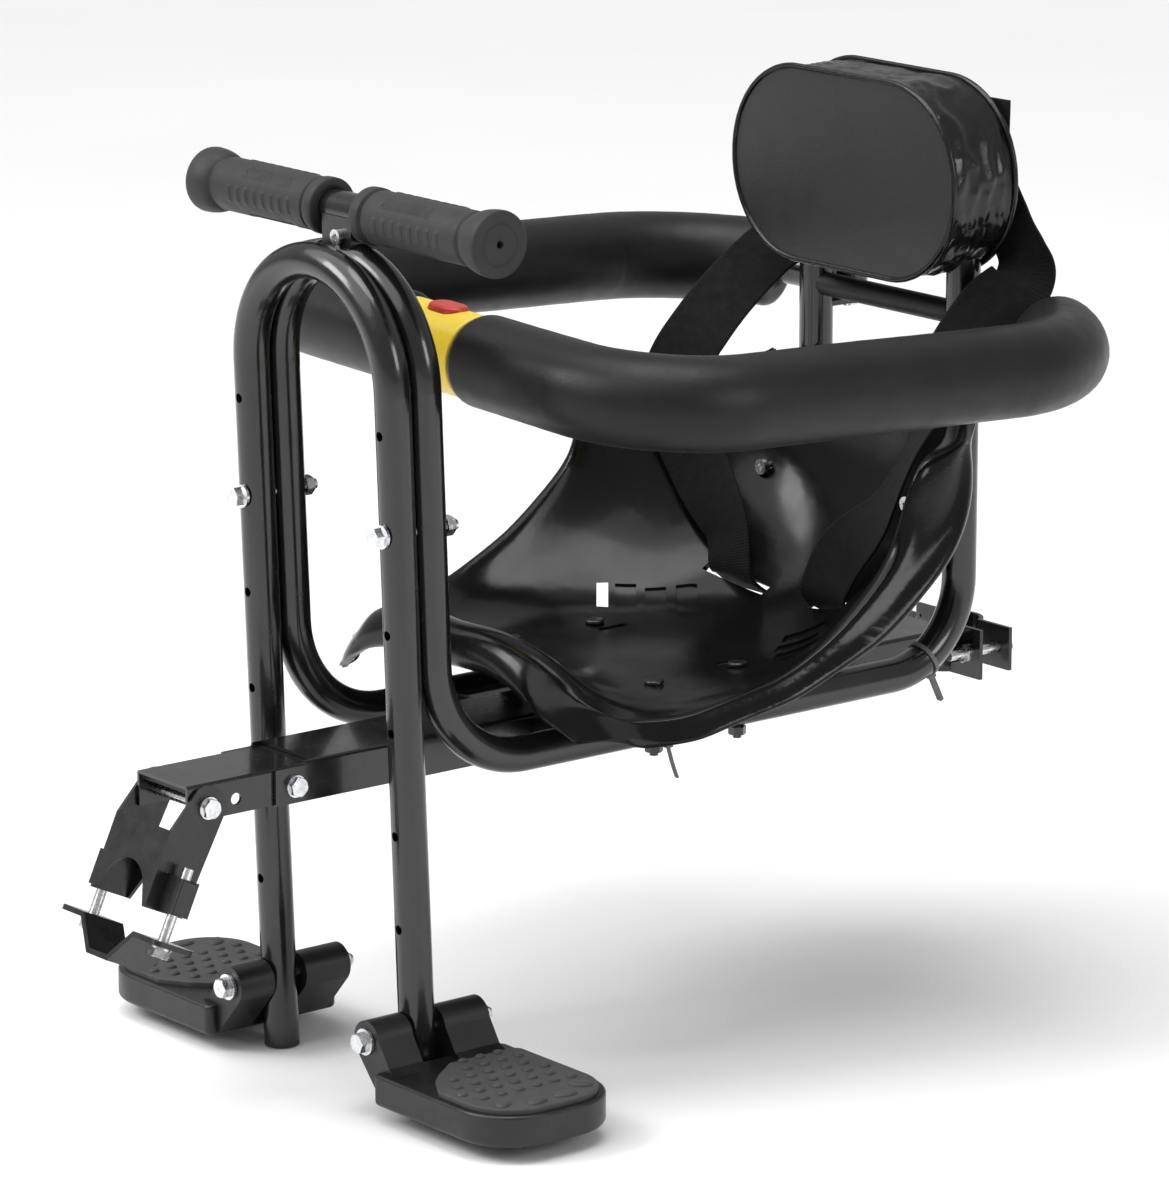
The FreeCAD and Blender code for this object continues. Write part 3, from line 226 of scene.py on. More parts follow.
shell_m = Mat("gloss_moulded_plastic", g(0.004), 0.16, 0.0, Coat_Weight=0.03, Coat_Roughness=0.06, Specular_IOR_Level=0.22)
shell_m.color(shell_m.noise(22.0, 4.0, 0.6), [(0.3, g(0.0032)), (0.6, g(0.0045)), (0.85, g(0.0072))])
shell_m.rough(shell_m.noise(34.0, 6.0, 0.7), 0.12, 0.26)
shell_m.bump(shell_m.noise(42.0, 2.0, 0.4), 0.05, 0.0022)
shell_m.bump(shell_m.noise(1100.0, 2.0, 0.5), 0.04, 0.0003)

pedal_m = Mat("satin_moulded_plastic", g(0.010), 0.38, 0.0, Specular_IOR_Level=0.5)
pedal_m.color(pedal_m.noise(34.0, 5.0, 0.65), [(0.25, g(0.0045)), (0.55, g(0.0065)), (0.84, g(0.011))])
pedal_m.rough(pedal_m.noise(60.0, 5.0, 0.65), 0.30, 0.48)
pedal_m.bump(pedal_m.voronoi(1300.0), 0.12, 0.0003)

mat_m = Mat("mat_rubber", g(0.042), 0.66, 0.0, Specular_IOR_Level=0.4, Sheen_Weight=0.05)
mat_m.color(mat_m.noise(50.0, 5.0, 0.65), [(0.25, g(0.034)), (0.55, g(0.045)), (0.82, g(0.058))])
mat_m.rough(mat_m.noise(110.0, 4.0, 0.6), 0.56, 0.76)
mat_m.bump(mat_m.noise(1300.0, 3.0, 0.6), 0.22, 0.0004)

cap_m = Mat("matte_plug_plastic", g(0.010), 0.5)
cap_m.color(cap_m.noise(90.0, 4.0, 0.6), [(0.3, g(0.007)), (0.7, g(0.013))])
cap_m.rough(cap_m.noise(140.0, 4.0, 0.6), 0.42, 0.6)
cap_m.bump(cap_m.noise(1400.0, 2.0, 0.5), 0.15, 0.0003)

yellow = Mat("yellow_plastic", (0.86, 0.55, 0.03), 0.32, 0.0, Specular_IOR_Level=0.5, Subsurface_Weight=0.05)
yellow.color(yellow.noise(40.0, 4.0, 0.6), [(0.25, (0.82, 0.56, 0.030)), (0.55, (0.88, 0.63, 0.040)), (0.85, (0.92, 0.68, 0.065))])
yellow.rough(yellow.noise(90.0, 4.0, 0.6), 0.26, 0.40)
yellow.bump(yellow.noise(1300.0, 2.0, 0.5), 0.08, 0.0003)

red = Mat("red_plastic", (0.50, 0.03, 0.015), 0.3, 0.0, Specular_IOR_Level=0.5)
red.color(red.noise(80.0, 4.0, 0.6), [(0.25, (0.42, 0.022, 0.012)), (0.6, (0.52, 0.032, 0.016)), (0.85, (0.58, 0.05, 0.025))])
red.rough(red.noise(140.0, 4.0, 0.6), 0.24, 0.38)
red.bump(red.noise(1500.0, 2.0, 0.5), 0.08, 0.0003)

# webbing: u across and v along the strap, both in metres
web = Mat("woven_webbing", g(0.004), 0.78, 0.0, Sheen_Weight=0.03, Sheen_Roughness=0.4, Specular_IOR_Level=0.18)
warp = web.wave(330.0, "X", uv=True)
weft = web.wave(210.0, "Y", uv=True)
weave = web.math("MULTIPLY", web.math("ADD", warp, 0.25), web.math("ADD", weft, 0.35))
web.color(weave, [(0.05, g(0.0018)), (0.55, g(0.0042)), (1.0, g(0.0075))])
web.rough(web.noise(160.0, 4.0, 0.6), 0.68, 0.88)
web.bump(weave, 0.55, 0.0005)
web.bump(web.noise(2200.0, 2.0, 0.6), 0.15, 0.0003)

# ---------------------------------------------------------------- finish of the construction's own pieces
LOOK = {
    "frame": (paint, ["main_frame", "footrest_hoop", "handlebar_tube", "rail_stubs", "gate_tube", "ring_tube", "beam_outer", "beam_inner"]),
    "bracket": (sheet_paint, ["handlebar_saddle", "front_clamp_bracket", "front_clamp_blocks", "front_clamp_strap",
                              "rear_clamp_bracket", "rear_clamp_strap", "ring_brackets", "shell_bolts", "shell_nuts"]),
    "zinc": (zinc, ["hoop_bolts", "hoop_nuts", "handlebar_screw", "handlebar_nut", "beam_bolt", "beam_nut", "front_pivot_bolt", "front_pivot_nut",
                    "front_clamp_washers", "rear_bracket_bolt", "rear_bracket_nut", "rear_clamp_nuts", "wall_screws",
                    "gate_tongue", "button_spring", "ring_pins", "pedal_bolts", "pedal_washers", "pedal_nuts", "front_clamp_bolts", "rear_clamp_bolts"]),
    "shell": (shell_m, ["seat_shell"]),
    "pedal": (pedal_m, ["pedal_left", "pedal_right"]),
    "mat": (mat_m, ["pedal_mat_left", "pedal_mat_right"]),
    "cap": (cap_m, ["hoop_end_caps", "shell_spacers", "rear_crossbar"]),
    "yellow": (yellow, ["latch_sleeve"]),
    "red": (red, ["release_button"]),
}
for m, names in LOOK.values():
    for n in names:
        N[n].data.materials.clear()
        N[n].data.materials.append(m.m)


# ---------------------------------------------------------------- mesh helpers
def mesh_piece(name, verts, faces, mats, body, uvs=None, face_mat=None, smooth=True, subdiv=0):
    me = bpy.data.meshes.new(name)
    me.from_pydata([tuple(v) for v in verts], [], [tuple(f) for f in faces])
    me.update()
    for m in mats if isinstance(mats, (list, tuple)) else [mats]:
        me.materials.append(m.m)
    if face_mat is not None:
        me.polygons.foreach_set("material_index", face_mat)
    if uvs is not None:
        lay = me.uv_layers.new(name="UVMap")
        idx = np.zeros(len(me.loops), np.int32)
        me.loops.foreach_get("vertex_index", idx)
        lay.data.foreach_set("uv", np.asarray(uvs, np.float32)[idx].ravel())
    me.polygons.foreach_set("use_smooth", [smooth] * len(me.polygons))
    o = bpy.data.objects.new(name, me)
    scene.collection.objects.link(o)
    fix_normals(o)
    if subdiv:
        s = o.modifiers.new("subdiv", "SUBSURF")
        s.levels = s.render_levels = subdiv
    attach(o, body)
    return o


def fix_normals(o):
    bm = bmesh.new()
    bm.from_mesh(o.data)
    bmesh.ops.recalc_face_normals(bm, faces=bm.faces)
    bm.to_mesh(o.data)
    bm.free()


def tube_faces(rings, k, closed=False):
    f = []
    for i in range(rings if closed else rings - 1):
        a, b = i * k, ((i + 1) % rings) * k
        for j in range(k):
            j2 = (j + 1) % k
            f.append((a + j, a + j2, b + j2, b + j))
    return f


def catmull(pts, per):
    pts = [np.asarray(p, float) for p in pts]
    out = []
    for i in range(len(pts) - 1):
        a, b, c, d = pts[max(i - 1, 0)], pts[i], pts[i + 1], pts[min(i + 2, len(pts) - 1)]
        for j in range(per):
            t = j / per
            out.append(0.5 * (2 * b + (c - a) * t + (2 * a - 5 * b + 4 * c - d) * t * t + (3 * b - a - 3 * c + d) * t ** 3))
    out.append(pts[-1])
    return np.array(out)


def nz(x, y, z):
    return noise.noise(Vector((x, y, z)))


# ---------------------------------------------------------------- foam sleeves of the guard ring
Y_RING_F, Y_RING_R, X_RING, Z_RING_F, RING_SLOPE = 84.0, 436.0, 180.0, 81.2, 0.044
R_RING_F, R_RING_R, RING_ROLL, X_FOAM, FOAM_R, RING_R = 64.0, 98.0, math.radians(2.0), 120.0, 26.0, 11.0
RUN = math.hypot(Y_RING_R - Y_RING_F, RING_SLOPE * (Y_RING_R - Y_RING_F))
CB, SB = (Y_RING_R - Y_RING_F) / RUN, RING_SLOPE * (Y_RING_R - Y_RING_F) / RUN


def ring_point(u, v, h=0.0):
    """Point of the ring's plane (u across, v rearwards along the slope, h above the plane), working mm."""
    x, y, dz = u, v * CB + h * SB, -v * SB + h * CB
    x2 = x * math.cos(RING_ROLL) + dz * math.sin(RING_ROLL)
    z2 = -x * math.sin(RING_ROLL) + dz * math.cos(RING_ROLL)
    return np.array((x2, Y_RING_F + y, Z_RING_F + z2))


def ring_path(x_front):
    """(u, v, tangent u, tangent v, bend) every 2 mm from the front to the rear end of the foam."""
    pts = []
    L1 = X_RING - R_RING_F - x_front
    for s in np.arange(0, L1, 2.0):
        pts.append((x_front + s, 0.0, 1.0, 0.0, 0.0))
    n = int(R_RING_F * math.pi / 2 / 2.0)
    for i in range(n):
        a = math.pi / 2 * i / n
        pts.append((X_RING - R_RING_F + R_RING_F * math.sin(a), R_RING_F - R_RING_F * math.cos(a), math.cos(a), math.sin(a), 1.0))
    L2 = RUN - R_RING_F - R_RING_R
    for s in np.arange(0, L2, 2.0):
        pts.append((X_RING, R_RING_F + s, 0.0, 1.0, 0.0))
    end = math.acos((X_FOAM - (X_RING - R_RING_R)) / R_RING_R)
    n = int(R_RING_R * end / 2.0)
    for i in range(n + 1):
        a = end * i / n
        pts.append((X_RING - R_RING_R + R_RING_R * math.cos(a), RUN - R_RING_R + R_RING_R * math.sin(a), -math.sin(a), math.cos(a), 1.0))
    return pts


def foam_piece(name, sx, body, node, x_front):
    path = ring_path(x_front)
    k = 40
    d = [0.0]
    for a, b in zip(path, path[1:]):
        d.append(d[-1] + math.hypot(b[0] - a[0], b[1] - a[1]))
    total = d[-1]
    rings = []

    def ring(u, v, tu, tv, r, s, bend):
        row = []
        for j in range(k):
            a = 2 * math.pi * j / k
            ca, sa = math.cos(a), math.sin(a)
            inner = max(0.0, -ca)                      # towards the middle of the ring
            rr = r
            if r > 20.0:
                rr += 0.35 * nz(s * 0.012, ca * 1.3 + 5.0 * sx, sa * 1.3) + 0.12 * nz(s * 0.09, ca * 4.0, sa * 4.0 + 3.0 * sx)
                rr -= 0.08 * bend * inner ** 6 * (0.5 + 0.5 * math.sin(s * 2 * math.pi / 7.5 + 2.0 * nz(s * 0.05, sa * 3, 1.7)))
                rr -= 0.35 * math.exp(-((a - 1.25 * math.pi) / 0.045) ** 2)      # mould line, low on the inner side
            p = ring_point(u + tv * rr * ca, v - tu * rr * ca, rr * sa)
            row.append(W(sx * p[0] if sx > 0 else p[0], p[1], p[2]))
        rings.append(row)

    E = 6.5
    ends_front = [(0.0, RING_R + 0.4), (0.0, FOAM_R - E - 4.0), (0.0, FOAM_R - E - 0.5)]
    for off, r in ends_front:
        u, v, tu, tv, b = path[0]
        ring(u + off, v, tu, tv, r, 0.0, 0.0)
    body_rows = []
    for (u, v, tu, tv, b), s in zip(path, d):
        e = min(s, total - s)
        if e < 1e-6:
            continue
        r = FOAM_R if e >= E else FOAM_R - E + math.sqrt(max(E * E - (E - e) ** 2, 0.0))
        body_rows.append((u, v, tu, tv, r, s, b))
    # extra rows inside the rounded ends
    def interp(s):
        i = max(1, min(len(d) - 1, int(np.searchsorted(d, s))))
        t = (s - d[i - 1]) / (d[i] - d[i - 1])
        return [path[i - 1][m] + (path[i][m] - path[i - 1][m]) * t for m in range(5)]
    extra = []
    for e in (0.05, 0.25, 0.6, 1.1, 3.0, 5.0):
        for s in (e, total - e):
            u, v, tu, tv, b = interp(s)
            ln = math.hypot(tu, tv)
            extra.append((u, v, tu / ln, tv / ln, FOAM_R - E + math.sqrt(max(E * E - (E - e) ** 2, 0.0)), s, b))
    for row in sorted(body_rows + extra, key=lambda q: q[5]):
        ring(*row)
    u, v, tu, tv, b = path[-1]
    for r in (FOAM_R - E - 0.5, FOAM_R - E - 4.0, RING_R + 0.4):
        ring(u, v, tu, tv, r, total, 0.0)
    verts = [p for row in rings for p in row]
    faces = tube_faces(len(rings), k)
    # the inside, along the tube
    nb = len(rings)
    faces += [((nb - 1) * k + j, (nb - 1) * k + (j + 1) % k, (j + 1) % k, j) for j in range(0)]
    inner = []
    for (u, v, tu, tv, b) in (path[0], *path[8:-8:12], path[-1]):
        row = []
        for j in range(k):
            a = 2 * math.pi * j / k
            rr = RING_R + 0.4
            p = ring_point(u + tv * rr * math.cos(a), v - tu * rr * math.cos(a), rr * math.sin(a))
            row.append(W(p[0], p[1], p[2]))
        inner.append(row)
    base = len(verts)
    for row in inner[1:-1]:
        verts += row
    chain = [list(range(0, k))] + [list(range(base + i * k, base + (i + 1) * k)) for i in range(len(inner) - 2)] + [list(range((nb - 1) * k, nb * k))]
    for a, b in zip(chain, chain[1:]):
        for j in range(k):
            faces.append((a[j], b[j], b[(j + 1) % k], a[(j + 1) % k]))
    return verts, faces


def make_foam(name, sx, body, node, x_front):
    if sx > 0:
        verts, faces = foam_piece(name, 1, body, node, x_front)
    else:
        # the fixed half mirrors across the ring's own middle plane, so it rises where the other falls
        global RING_ROLL
        RING_ROLL = -RING_ROLL
        verts, faces = foam_piece(name, 1, body, node, x_front)
        RING_ROLL = -RING_ROLL
        verts = [Vector((-p.x, p.y, p.z)) for p in verts]
    o = mesh_piece(name, verts, faces, foam, body)
    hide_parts(node)
    return o


make_foam("gate_foam_sleeve", 1, "gate", "gate_foam", 31.8)
make_foam("ring_foam_sleeve", -1, "frame", "ring_foam", 31.6)

# ---------------------------------------------------------------- backrest pad
PAD_X, PAD_Z0, PAD_Z1, PAD_Y0, PAD_Y1, PAD_C = 97.0, 90.0, 206.0, 368.0, 424.0, 57.0
PAD_N = 224


def pad_outline(shrink, n=PAD_N):
    """Rounded rectangle, evenly spaced, starting at the middle of the right side; (x, z) in mm."""
    hx, hz, c = PAD_X - shrink, (PAD_Z1 - PAD_Z0) / 2 - shrink, PAD_C - shrink
    zc = (PAD_Z0 + PAD_Z1) / 2
    sx, sz = hx - c, hz - c
    parts = [("l", (hx, -sz), (hx, sz)), ("a", (sx, sz), 0.0), ("l", (sx, hz), (-sx, hz)), ("a", (-sx, sz), math.pi / 2),
             ("l", (-hx, sz), (-hx, -sz)), ("a", (-sx, -sz), math.pi), ("l", (-sx, -hz), (sx, -hz)), ("a", (sx, -sz), 1.5 * math.pi)]
    dense = []
    for p in parts:
        if p[0] == "l":
            for t in np.linspace(0, 1, 60, endpoint=False):
                dense.append((p[1][0] + (p[2][0] - p[1][0]) * t, p[1][1] + (p[2][1] - p[1][1]) * t))
        else:
            for t in np.linspace(0, math.pi / 2, 60, endpoint=False):
                dense.append((p[1][0] + c * math.cos(p[2] + t), p[1][1] + c * math.sin(p[2] + t)))
    dense = np.array(dense + [dense[0]])
    # the outline is resampled evenly along its length
    seg = np.hypot(*np.diff(dense, axis=0).T)
    cum = np.concatenate([[0], np.cumsum(seg)])
    s = np.linspace(0, cum[-1], n, endpoint=False)
    return np.stack([np.interp(s, cum, dense[:, 0]), np.interp(s, cum, dense[:, 1]) + zc], 1)


def pad_mesh():
    """Closed cushion: front panel, side band, back panel. Returns vertices (mm), faces, kinds and the rows' places."""
    zc = (PAD_Z0 + PAD_Z1) / 2
    out = pad_outline(2.0)
    verts, kind = [], []
    depth = [0.0, 0.02, 0.05, 0.09, 0.14, 0.20, 0.26, 0.32, 0.38, 0.44, 0.50, 0.56, 0.62, 0.68, 0.74, 0.80, 0.86, 0.91, 0.95, 0.98, 1.0]
    y0, y1 = PAD_Y0 + 5.0, PAD_Y1 - 3.5
    scales = [0.04, 0.12, 0.22, 0.33, 0.44, 0.55, 0.65, 0.74, 0.82, 0.88, 0.93, 0.965, 0.988]
    rows = []
    for s in scales:
        rows.append([((x) * s, y0, zc + (z - zc) * s) for x, z in out])
        kind.append(("front", s))
    for t in depth:
        rows.append([(x, y0 + (y1 - y0) * t, z) for x, z in out])
        kind.append(("band", t))
    for s in reversed(scales):
        rows.append([((x) * s, y1, zc + (z - zc) * s) for x, z in out])
        kind.append(("back", s))
    for r in rows:
        verts += r
    n = PAD_N
    faces = tube_faces(len(rows), n)
    c0 = len(verts)
    verts += [(0.0, y0, zc), (0.0, y1, zc)]
    faces += [(c0, (j + 1) % n, j) for j in range(n)]
    last = (len(rows) - 1) * n
    faces += [(c0 + 1, last + j, last + (j + 1) % n) for j in range(n)]
    return np.array(verts, float), faces, kind


def pad_swell(verts, faces, kind):
    """The cover swells under pressure while its two seams hold still."""
    me = bpy.data.meshes.new("pad_sim")
    me.from_pydata([tuple(W(*v)) for v in verts], [], faces)
    me.update()
    o = bpy.data.objects.new("pad_sim", me)
    scene.collection.objects.link(o)
    fix_normals(o)
    pins = o.vertex_groups.new(name="pin")
    n = PAD_N
    for i, (k, t) in enumerate(kind):
        w = 0.0
        if k == "band" and (t < 0.001 or t > 0.999):
            w = 1.0
        elif k == "back":
            w = 1.0
        if w:
            pins.add(list(range(i * n, (i + 1) * n)), w, "REPLACE")
    pins.add([len(verts) - 1], 1.0, "REPLACE")
    c = o.modifiers.new("cloth", "CLOTH")
    st = c.settings
    st.quality = 6
    st.mass = 0.3
    st.tension_stiffness = st.compression_stiffness = 18.0
    st.shear_stiffness = 6.0
    st.bending_stiffness = 0.6
    st.use_pressure = True
    st.uniform_pressure_force = 4.0
    st.vertex_group_mass = "pin"
    st.effector_weights.gravity = 0.0
    c.collision_settings.use_collision = False
    c.collision_settings.use_self_collision = False
    c.point_cache.frame_start, c.point_cache.frame_end = 1, 20
    for f in range(1, 21):
        scene.frame_set(f)
    dg = bpy.context.evaluated_depsgraph_get()
    ev = o.evaluated_get(dg)
    got = np.zeros(len(verts) * 3, np.float32)
    ev.data.vertices.foreach_get("co", got)
    got = got.reshape(-1, 3).astype(float) * 1000.0 - np.array((0.0, 126.13402889, 193.41049851))
    scene.frame_set(1)
    bpy.data.objects.remove(o)
    bpy.data.meshes.remove(me)
    move = got - verts
    ln = np.linalg.norm(move, axis=1, keepdims=True)
    return verts + move * np.minimum(1.0, 7.0 / np.maximum(ln, 1e-9))


def make_pad():
    verts, faces, kind = pad_mesh()
    verts = pad_swell(verts, faces, kind)
    n = PAD_N
    zc = (PAD_Z0 + PAD_Z1) / 2
    out = pad_outline(2.0)
    nxt, prv = np.roll(out, -1, 0), np.roll(out, 1, 0)
    tan = nxt - prv
    nrm = np.stack([tan[:, 1], -tan[:, 0]], 1)
    nrm /= np.linalg.norm(nrm, axis=1, keepdims=True)
    per = np.arange(n) / n
    for i, (k, t) in enumerate(kind):
        if k == "band":
            # the cover is loose along the band: long folds run beside the seams, with a few that cross at a slant
            hold = math.sin(math.pi * t) ** 0.5 if 0 < t < 1 else 0.0
            for j in range(n):
                a = 2 * math.pi * per[j]
                cx, cz = math.cos(a), math.sin(a)
                wander = 0.9 * nz(cx * 3.1, cz * 3.1, 8.8)
                r1 = 1.0 - abs(nz(cx * 1.9 + 3.0, cz * 1.9, t * 4.6 + wander))
                r2 = 1.0 - abs(nz(cx * 8.0 + t * 2.6, cz * 8.0 - t * 1.8, 7.7))
                r3 = nz(cx * 4.0, cz * 4.0, t * 1.6 + 0.4)
                ends = 0.55 + 0.45 * abs(out[j, 0]) / PAD_X
                dsp = hold * ends * (2.7 * (r1 ** 7 - 0.30) + 1.2 * (r2 ** 9 - 0.25) + 0.8 * r3)
                v = verts[i * n + j]
                v[0] += nrm[j, 0] * dsp
                v[2] += nrm[j, 1] * dsp
        elif k == "front":
            # the face is smooth with shallow dents; its rim is drawn in by the piping
            for j in range(n):
                v = verts[i * n + j]
                v[1] += 0.5 * nz(v[0] * 0.022, v[2] * 0.025, 4.1) * (1 - t ** 6)
    verts = [W(*v) for v in verts]
    fm = []
    for f in faces:
        row = min(v // n for v in f) if max(f) < len(kind) * n else (0 if f[0] == len(kind) * n else len(kind) - 1)
        k = kind[min(row, len(kind) - 1)]
        fm.append(1 if k[0] == "band" and k[1] < 0.999 else 0)
    o = mesh_piece("backrest_cushion", verts, faces, [leather, leather_band], "frame", face_mat=fm, subdiv=1)
    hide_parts("backrest_pad")
    for name, y, r, sh in (("pad_piping_front", PAD_Y0 + 5.2, 1.7, 1.4), ("pad_piping_back", PAD_Y1 - 4.0, 1.6, 1.4)):
        line = pad_outline(sh, 360)
        k = 10
        vs = []
        for i in range(360):
            a, b = line[(i + 1) % 360], line[i - 1]
            t = (a - b) / np.linalg.norm(a - b)
            nn = np.array((t[1], -t[0]))
            for j in range(k):
                q = 2 * math.pi * j / k
                rr = r * (1.0 + 0.015 * math.sin(i * 1.1))
                vs.append(W(line[i, 0] + nn[0] * rr * math.cos(q), y + rr * math.sin(q), line[i, 1] + nn[1] * rr * math.cos(q)))
        mesh_piece(name, vs, tube_faces(360, k, True), leather_band, "frame")


make_pad()

# ---------------------------------------------------------------- shoulder straps
STRAP_W = 38.0
STRAP_LEFT = [((63.0, 427.6, 194.0), (1.0, 0.0, 0.0)),
              ((64.0, 428.0, 155.0), (1.0, 0.0, 0.1)),
              ((78.0, 430.5, 124.0), (0.93, 0.03, 0.3)),
              ((90.0, 430.5, 106.0), (0.88, 0.06, 0.15)),
              ((98.0, 422.0, 91.0), (0.66, 0.5, -0.5)),
              ((97.0, 398.0, 77.0), (0.5, 0.6, -0.62)),
              ((101.0, 366.0, 47.0), (0.75, 0.1, -0.6)),
              ((105.0, 337.0, 10.0), (0.8, -0.5, 0.1)),
              ((80.0, 334.0, -34.0), (0.72, -0.45, -0.4)),
              ((51.0, 330.0, -63.0), (0.9, -0.05, -0.42)),
              ((41.0, 326.0, -88.0), (1.0, 0.0, 0.0)),
              ((40.5, 341.0, -101.5), (1.0, 0.0, 0.0))]
STRAP_RIGHT = [((63.0, 427.6, 194.0), (1.0, 0.0, 0.0)),
         ((64.0, 428.0, 150.0), (1.0, 0.0, 0.1)),
         ((74.0, 429.5, 120.0), (0.92, 0.0, 0.38)),
         ((88.0, 429.0, 101.0), (0.82, 0.0, 0.55)),
         ((95.0, 396.0, 84.0), (0.83, -0.1, 0.5)),
         ((102.0, 357.0, 48.0), (0.8, -0.3, 0.45)),
         ((107.0, 336.0, 10.0), (0.75, -0.4, 0.45)),
         ((80.0, 334.0, -34.0), (0.72, -0.45, -0.4)),
         ((51.0, 330.0, -63.0), (0.9, -0.05, -0.42)),
         ((41.0, 326.0, -88.0), (1.0, 0.0, 0.0)),
         ((40.5, 341.0, -101.5), (1.0, 0.0, 0.0))]


def make_strap(name, sx, node, STRAP):
    c = catmull([s[0] for s in STRAP], 16)
    w = catmull([s[1] for s in STRAP], 16)
    rows, uvs, along = [], [], 0.0
    prof = [(-1.0, 0.35), (-0.97, 0.85), (-0.92, 0.95), (-0.86, 0.75), (-0.5, 0.7), (0.0, 0.72), (0.5, 0.7), (0.86, 0.75), (0.92, 0.95), (0.97, 0.85), (1.0, 0.35)]
    loop = [(a, h) for a, h in prof] + [(a, -h) for a, h in reversed(prof)]
    k = len(loop)
    for i in range(len(c)):
        t = c[min(i + 1, len(c) - 1)] - c[max(i - 1, 0)]
        t /= np.linalg.norm(t)
        ww = w[i] - t * (w[i] @ t)
        ww /= np.linalg.norm(ww)
        nn = np.cross(ww, t)
        if i:
            along += np.linalg.norm(c[i] - c[i - 1])
        cup = 0.5 * nz(along * 0.02, 3.0 * sx, 0.3)
        for a, h in loop:
            p = c[i] + ww * (a * STRAP_W / 2) + nn * (h + cup * (a * a - 0.4) + 0.12 * nz(along * 0.12, a * 2.0, 1.1 * sx))
            rows.append(W(sx * p[0], p[1], p[2]))
            uvs.append((a * STRAP_W / 2000.0, along / 1000.0))
    n = len(c)
    faces = tube_faces(n, k) + [tuple(range(k)), tuple(range((n - 1) * k, n * k))]
    o = mesh_piece(name, rows, faces, web, "frame", uvs=uvs)
    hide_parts(node)
    return o


make_strap("shoulder_webbing_left", 1, "shoulder_strap_left", STRAP_LEFT)
make_strap("shoulder_webbing_right", -1, "shoulder_strap_right", STRAP_RIGHT)

# ---------------------------------------------------------------- grips
Y_BAR, Z_BAR = 21.5, 164.6
GRIP = [(17.0, 10.1), (17.0, 14.6), (17.3, 15.3), (18.0, 15.8), (21.0, 15.9), (24.2, 15.8), (25.0, 15.2), (25.4, 13.7), (26.2, 13.5), (27.0, 13.7), (27.5, 14.7), (28.2, 15.0),
        (109.0, 15.0), (109.8, 14.4), (110.4, 13.8), (112.6, 13.8), (113.4, 14.6), (114.5, 15.6), (117.0, 16.7), (120.0, 17.5), (124.0, 18.1), (128.0, 18.3), (129.3, 18.1), (129.9, 17.4),
        (130.0, 16.4), (130.0, 12.0), (129.6, 11.6), (129.6, 10.9), (130.0, 10.5), (130.0, 2.3), (129.3, 2.0), (127.0, 2.0)]


def make_grip(name, sx, node):
    prof = []
    for (x0, r0), (x1, r1) in zip(GRIP, GRIP[1:]):
        ln = math.hypot(x1 - x0, r1 - r0)
        m = max(1, int(ln / (0.42 if 28.0 <= x0 < 109 else 1.6)))
        prof += [(x0 + (x1 - x0) * t / m, r0 + (r1 - r0) * t / m) for t in range(m)]
    prof.append(GRIP[-1])
    k = 132
    verts = []
    for x, r in prof:
        for j in range(k):
            a = 2 * math.pi * j / k
            rr = r
            if 28.2 < x < 109.0:
                # three sets round the grip: a sunk panel of fine ridges, and a row of raised bars
                q = (math.degrees(a) + 20.0) % 120.0
                if 41.0 < x < 84.0 and 10.0 < q < 48.0:
                    e = min(1.0, (x - 41.0) / 0.8, (84.0 - x) / 0.8, (q - 10.0) / 3.0, (48.0 - q) / 3.0)
                    rr -= e * (1.15 - 0.95 * (0.5 + 0.5 * math.cos((x + q * 0.12) * 2 * math.pi / 2.5)))
                if 37.0 < x < 99.0 and 66.0 < q < 104.0:
                    ph = ((x - 37.0) % 7.75) / 7.75
                    e = max(0.0, min(1.0, ph / 0.12, (0.56 - ph) / 0.12, (q - 66.0) / 3.0, (104.0 - q) / 3.0))
                    rr += 0.55 * e
                rr += 0.05 * nz(x * 0.3, math.cos(a) * 3.0, math.sin(a) * 3.0)
            verts.append(W(sx * x, Y_BAR + rr * math.cos(a), Z_BAR + rr * math.sin(a)))
    n = len(prof)
    faces = tube_faces(n, k) + tube_faces_between((n - 1) * k, 0, k)
    o = mesh_piece(name, verts, faces, rubber, "frame")
    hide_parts(node)
    return o


def tube_faces_between(a, b, k):
    return [(a + j, a + (j + 1) % k, b + (j + 1) % k, b + j) for j in range(k)]


make_grip("ribbed_grip_left", 1, "grip_left")
make_grip("ribbed_grip_right", -1, "grip_right")

# ---------------------------------------------------------------- raised dots and toe pads on the pedal mats
MAT_Z = -294.0 + 2.8


def dome(cx, cy, rx, ry, h, turn, verts, faces, sx):
    k, base = 18, len(verts)
    rings = [(1.0, -0.25), (1.0, 0.0), (0.96, 0.30), (0.84, 0.62), (0.62, 0.86), (0.32, 0.97)]
    ct, st = math.cos(turn), math.sin(turn)
    for s, z in rings:
        for j in range(k):
            a = 2 * math.pi * j / k
            px, py = rx * s * math.cos(a), ry * s * math.sin(a)
            verts.append(W(sx * (cx + px * ct - py * st), cy + px * st + py * ct, MAT_Z + h * z))
    verts.append(W(sx * cx, cy, MAT_Z + h))
    for i in range(len(rings) - 1):
        for j in range(k):
            faces.append((base + i * k + j, base + i * k + (j + 1) % k, base + (i + 1) * k + (j + 1) % k, base + (i + 1) * k + j))
    top = base + (len(rings) - 1) * k
    faces += [(top + j, top + (j + 1) % k, base + len(rings) * k) for j in range(k)]
    faces.append(tuple(base + j for j in range(k)))


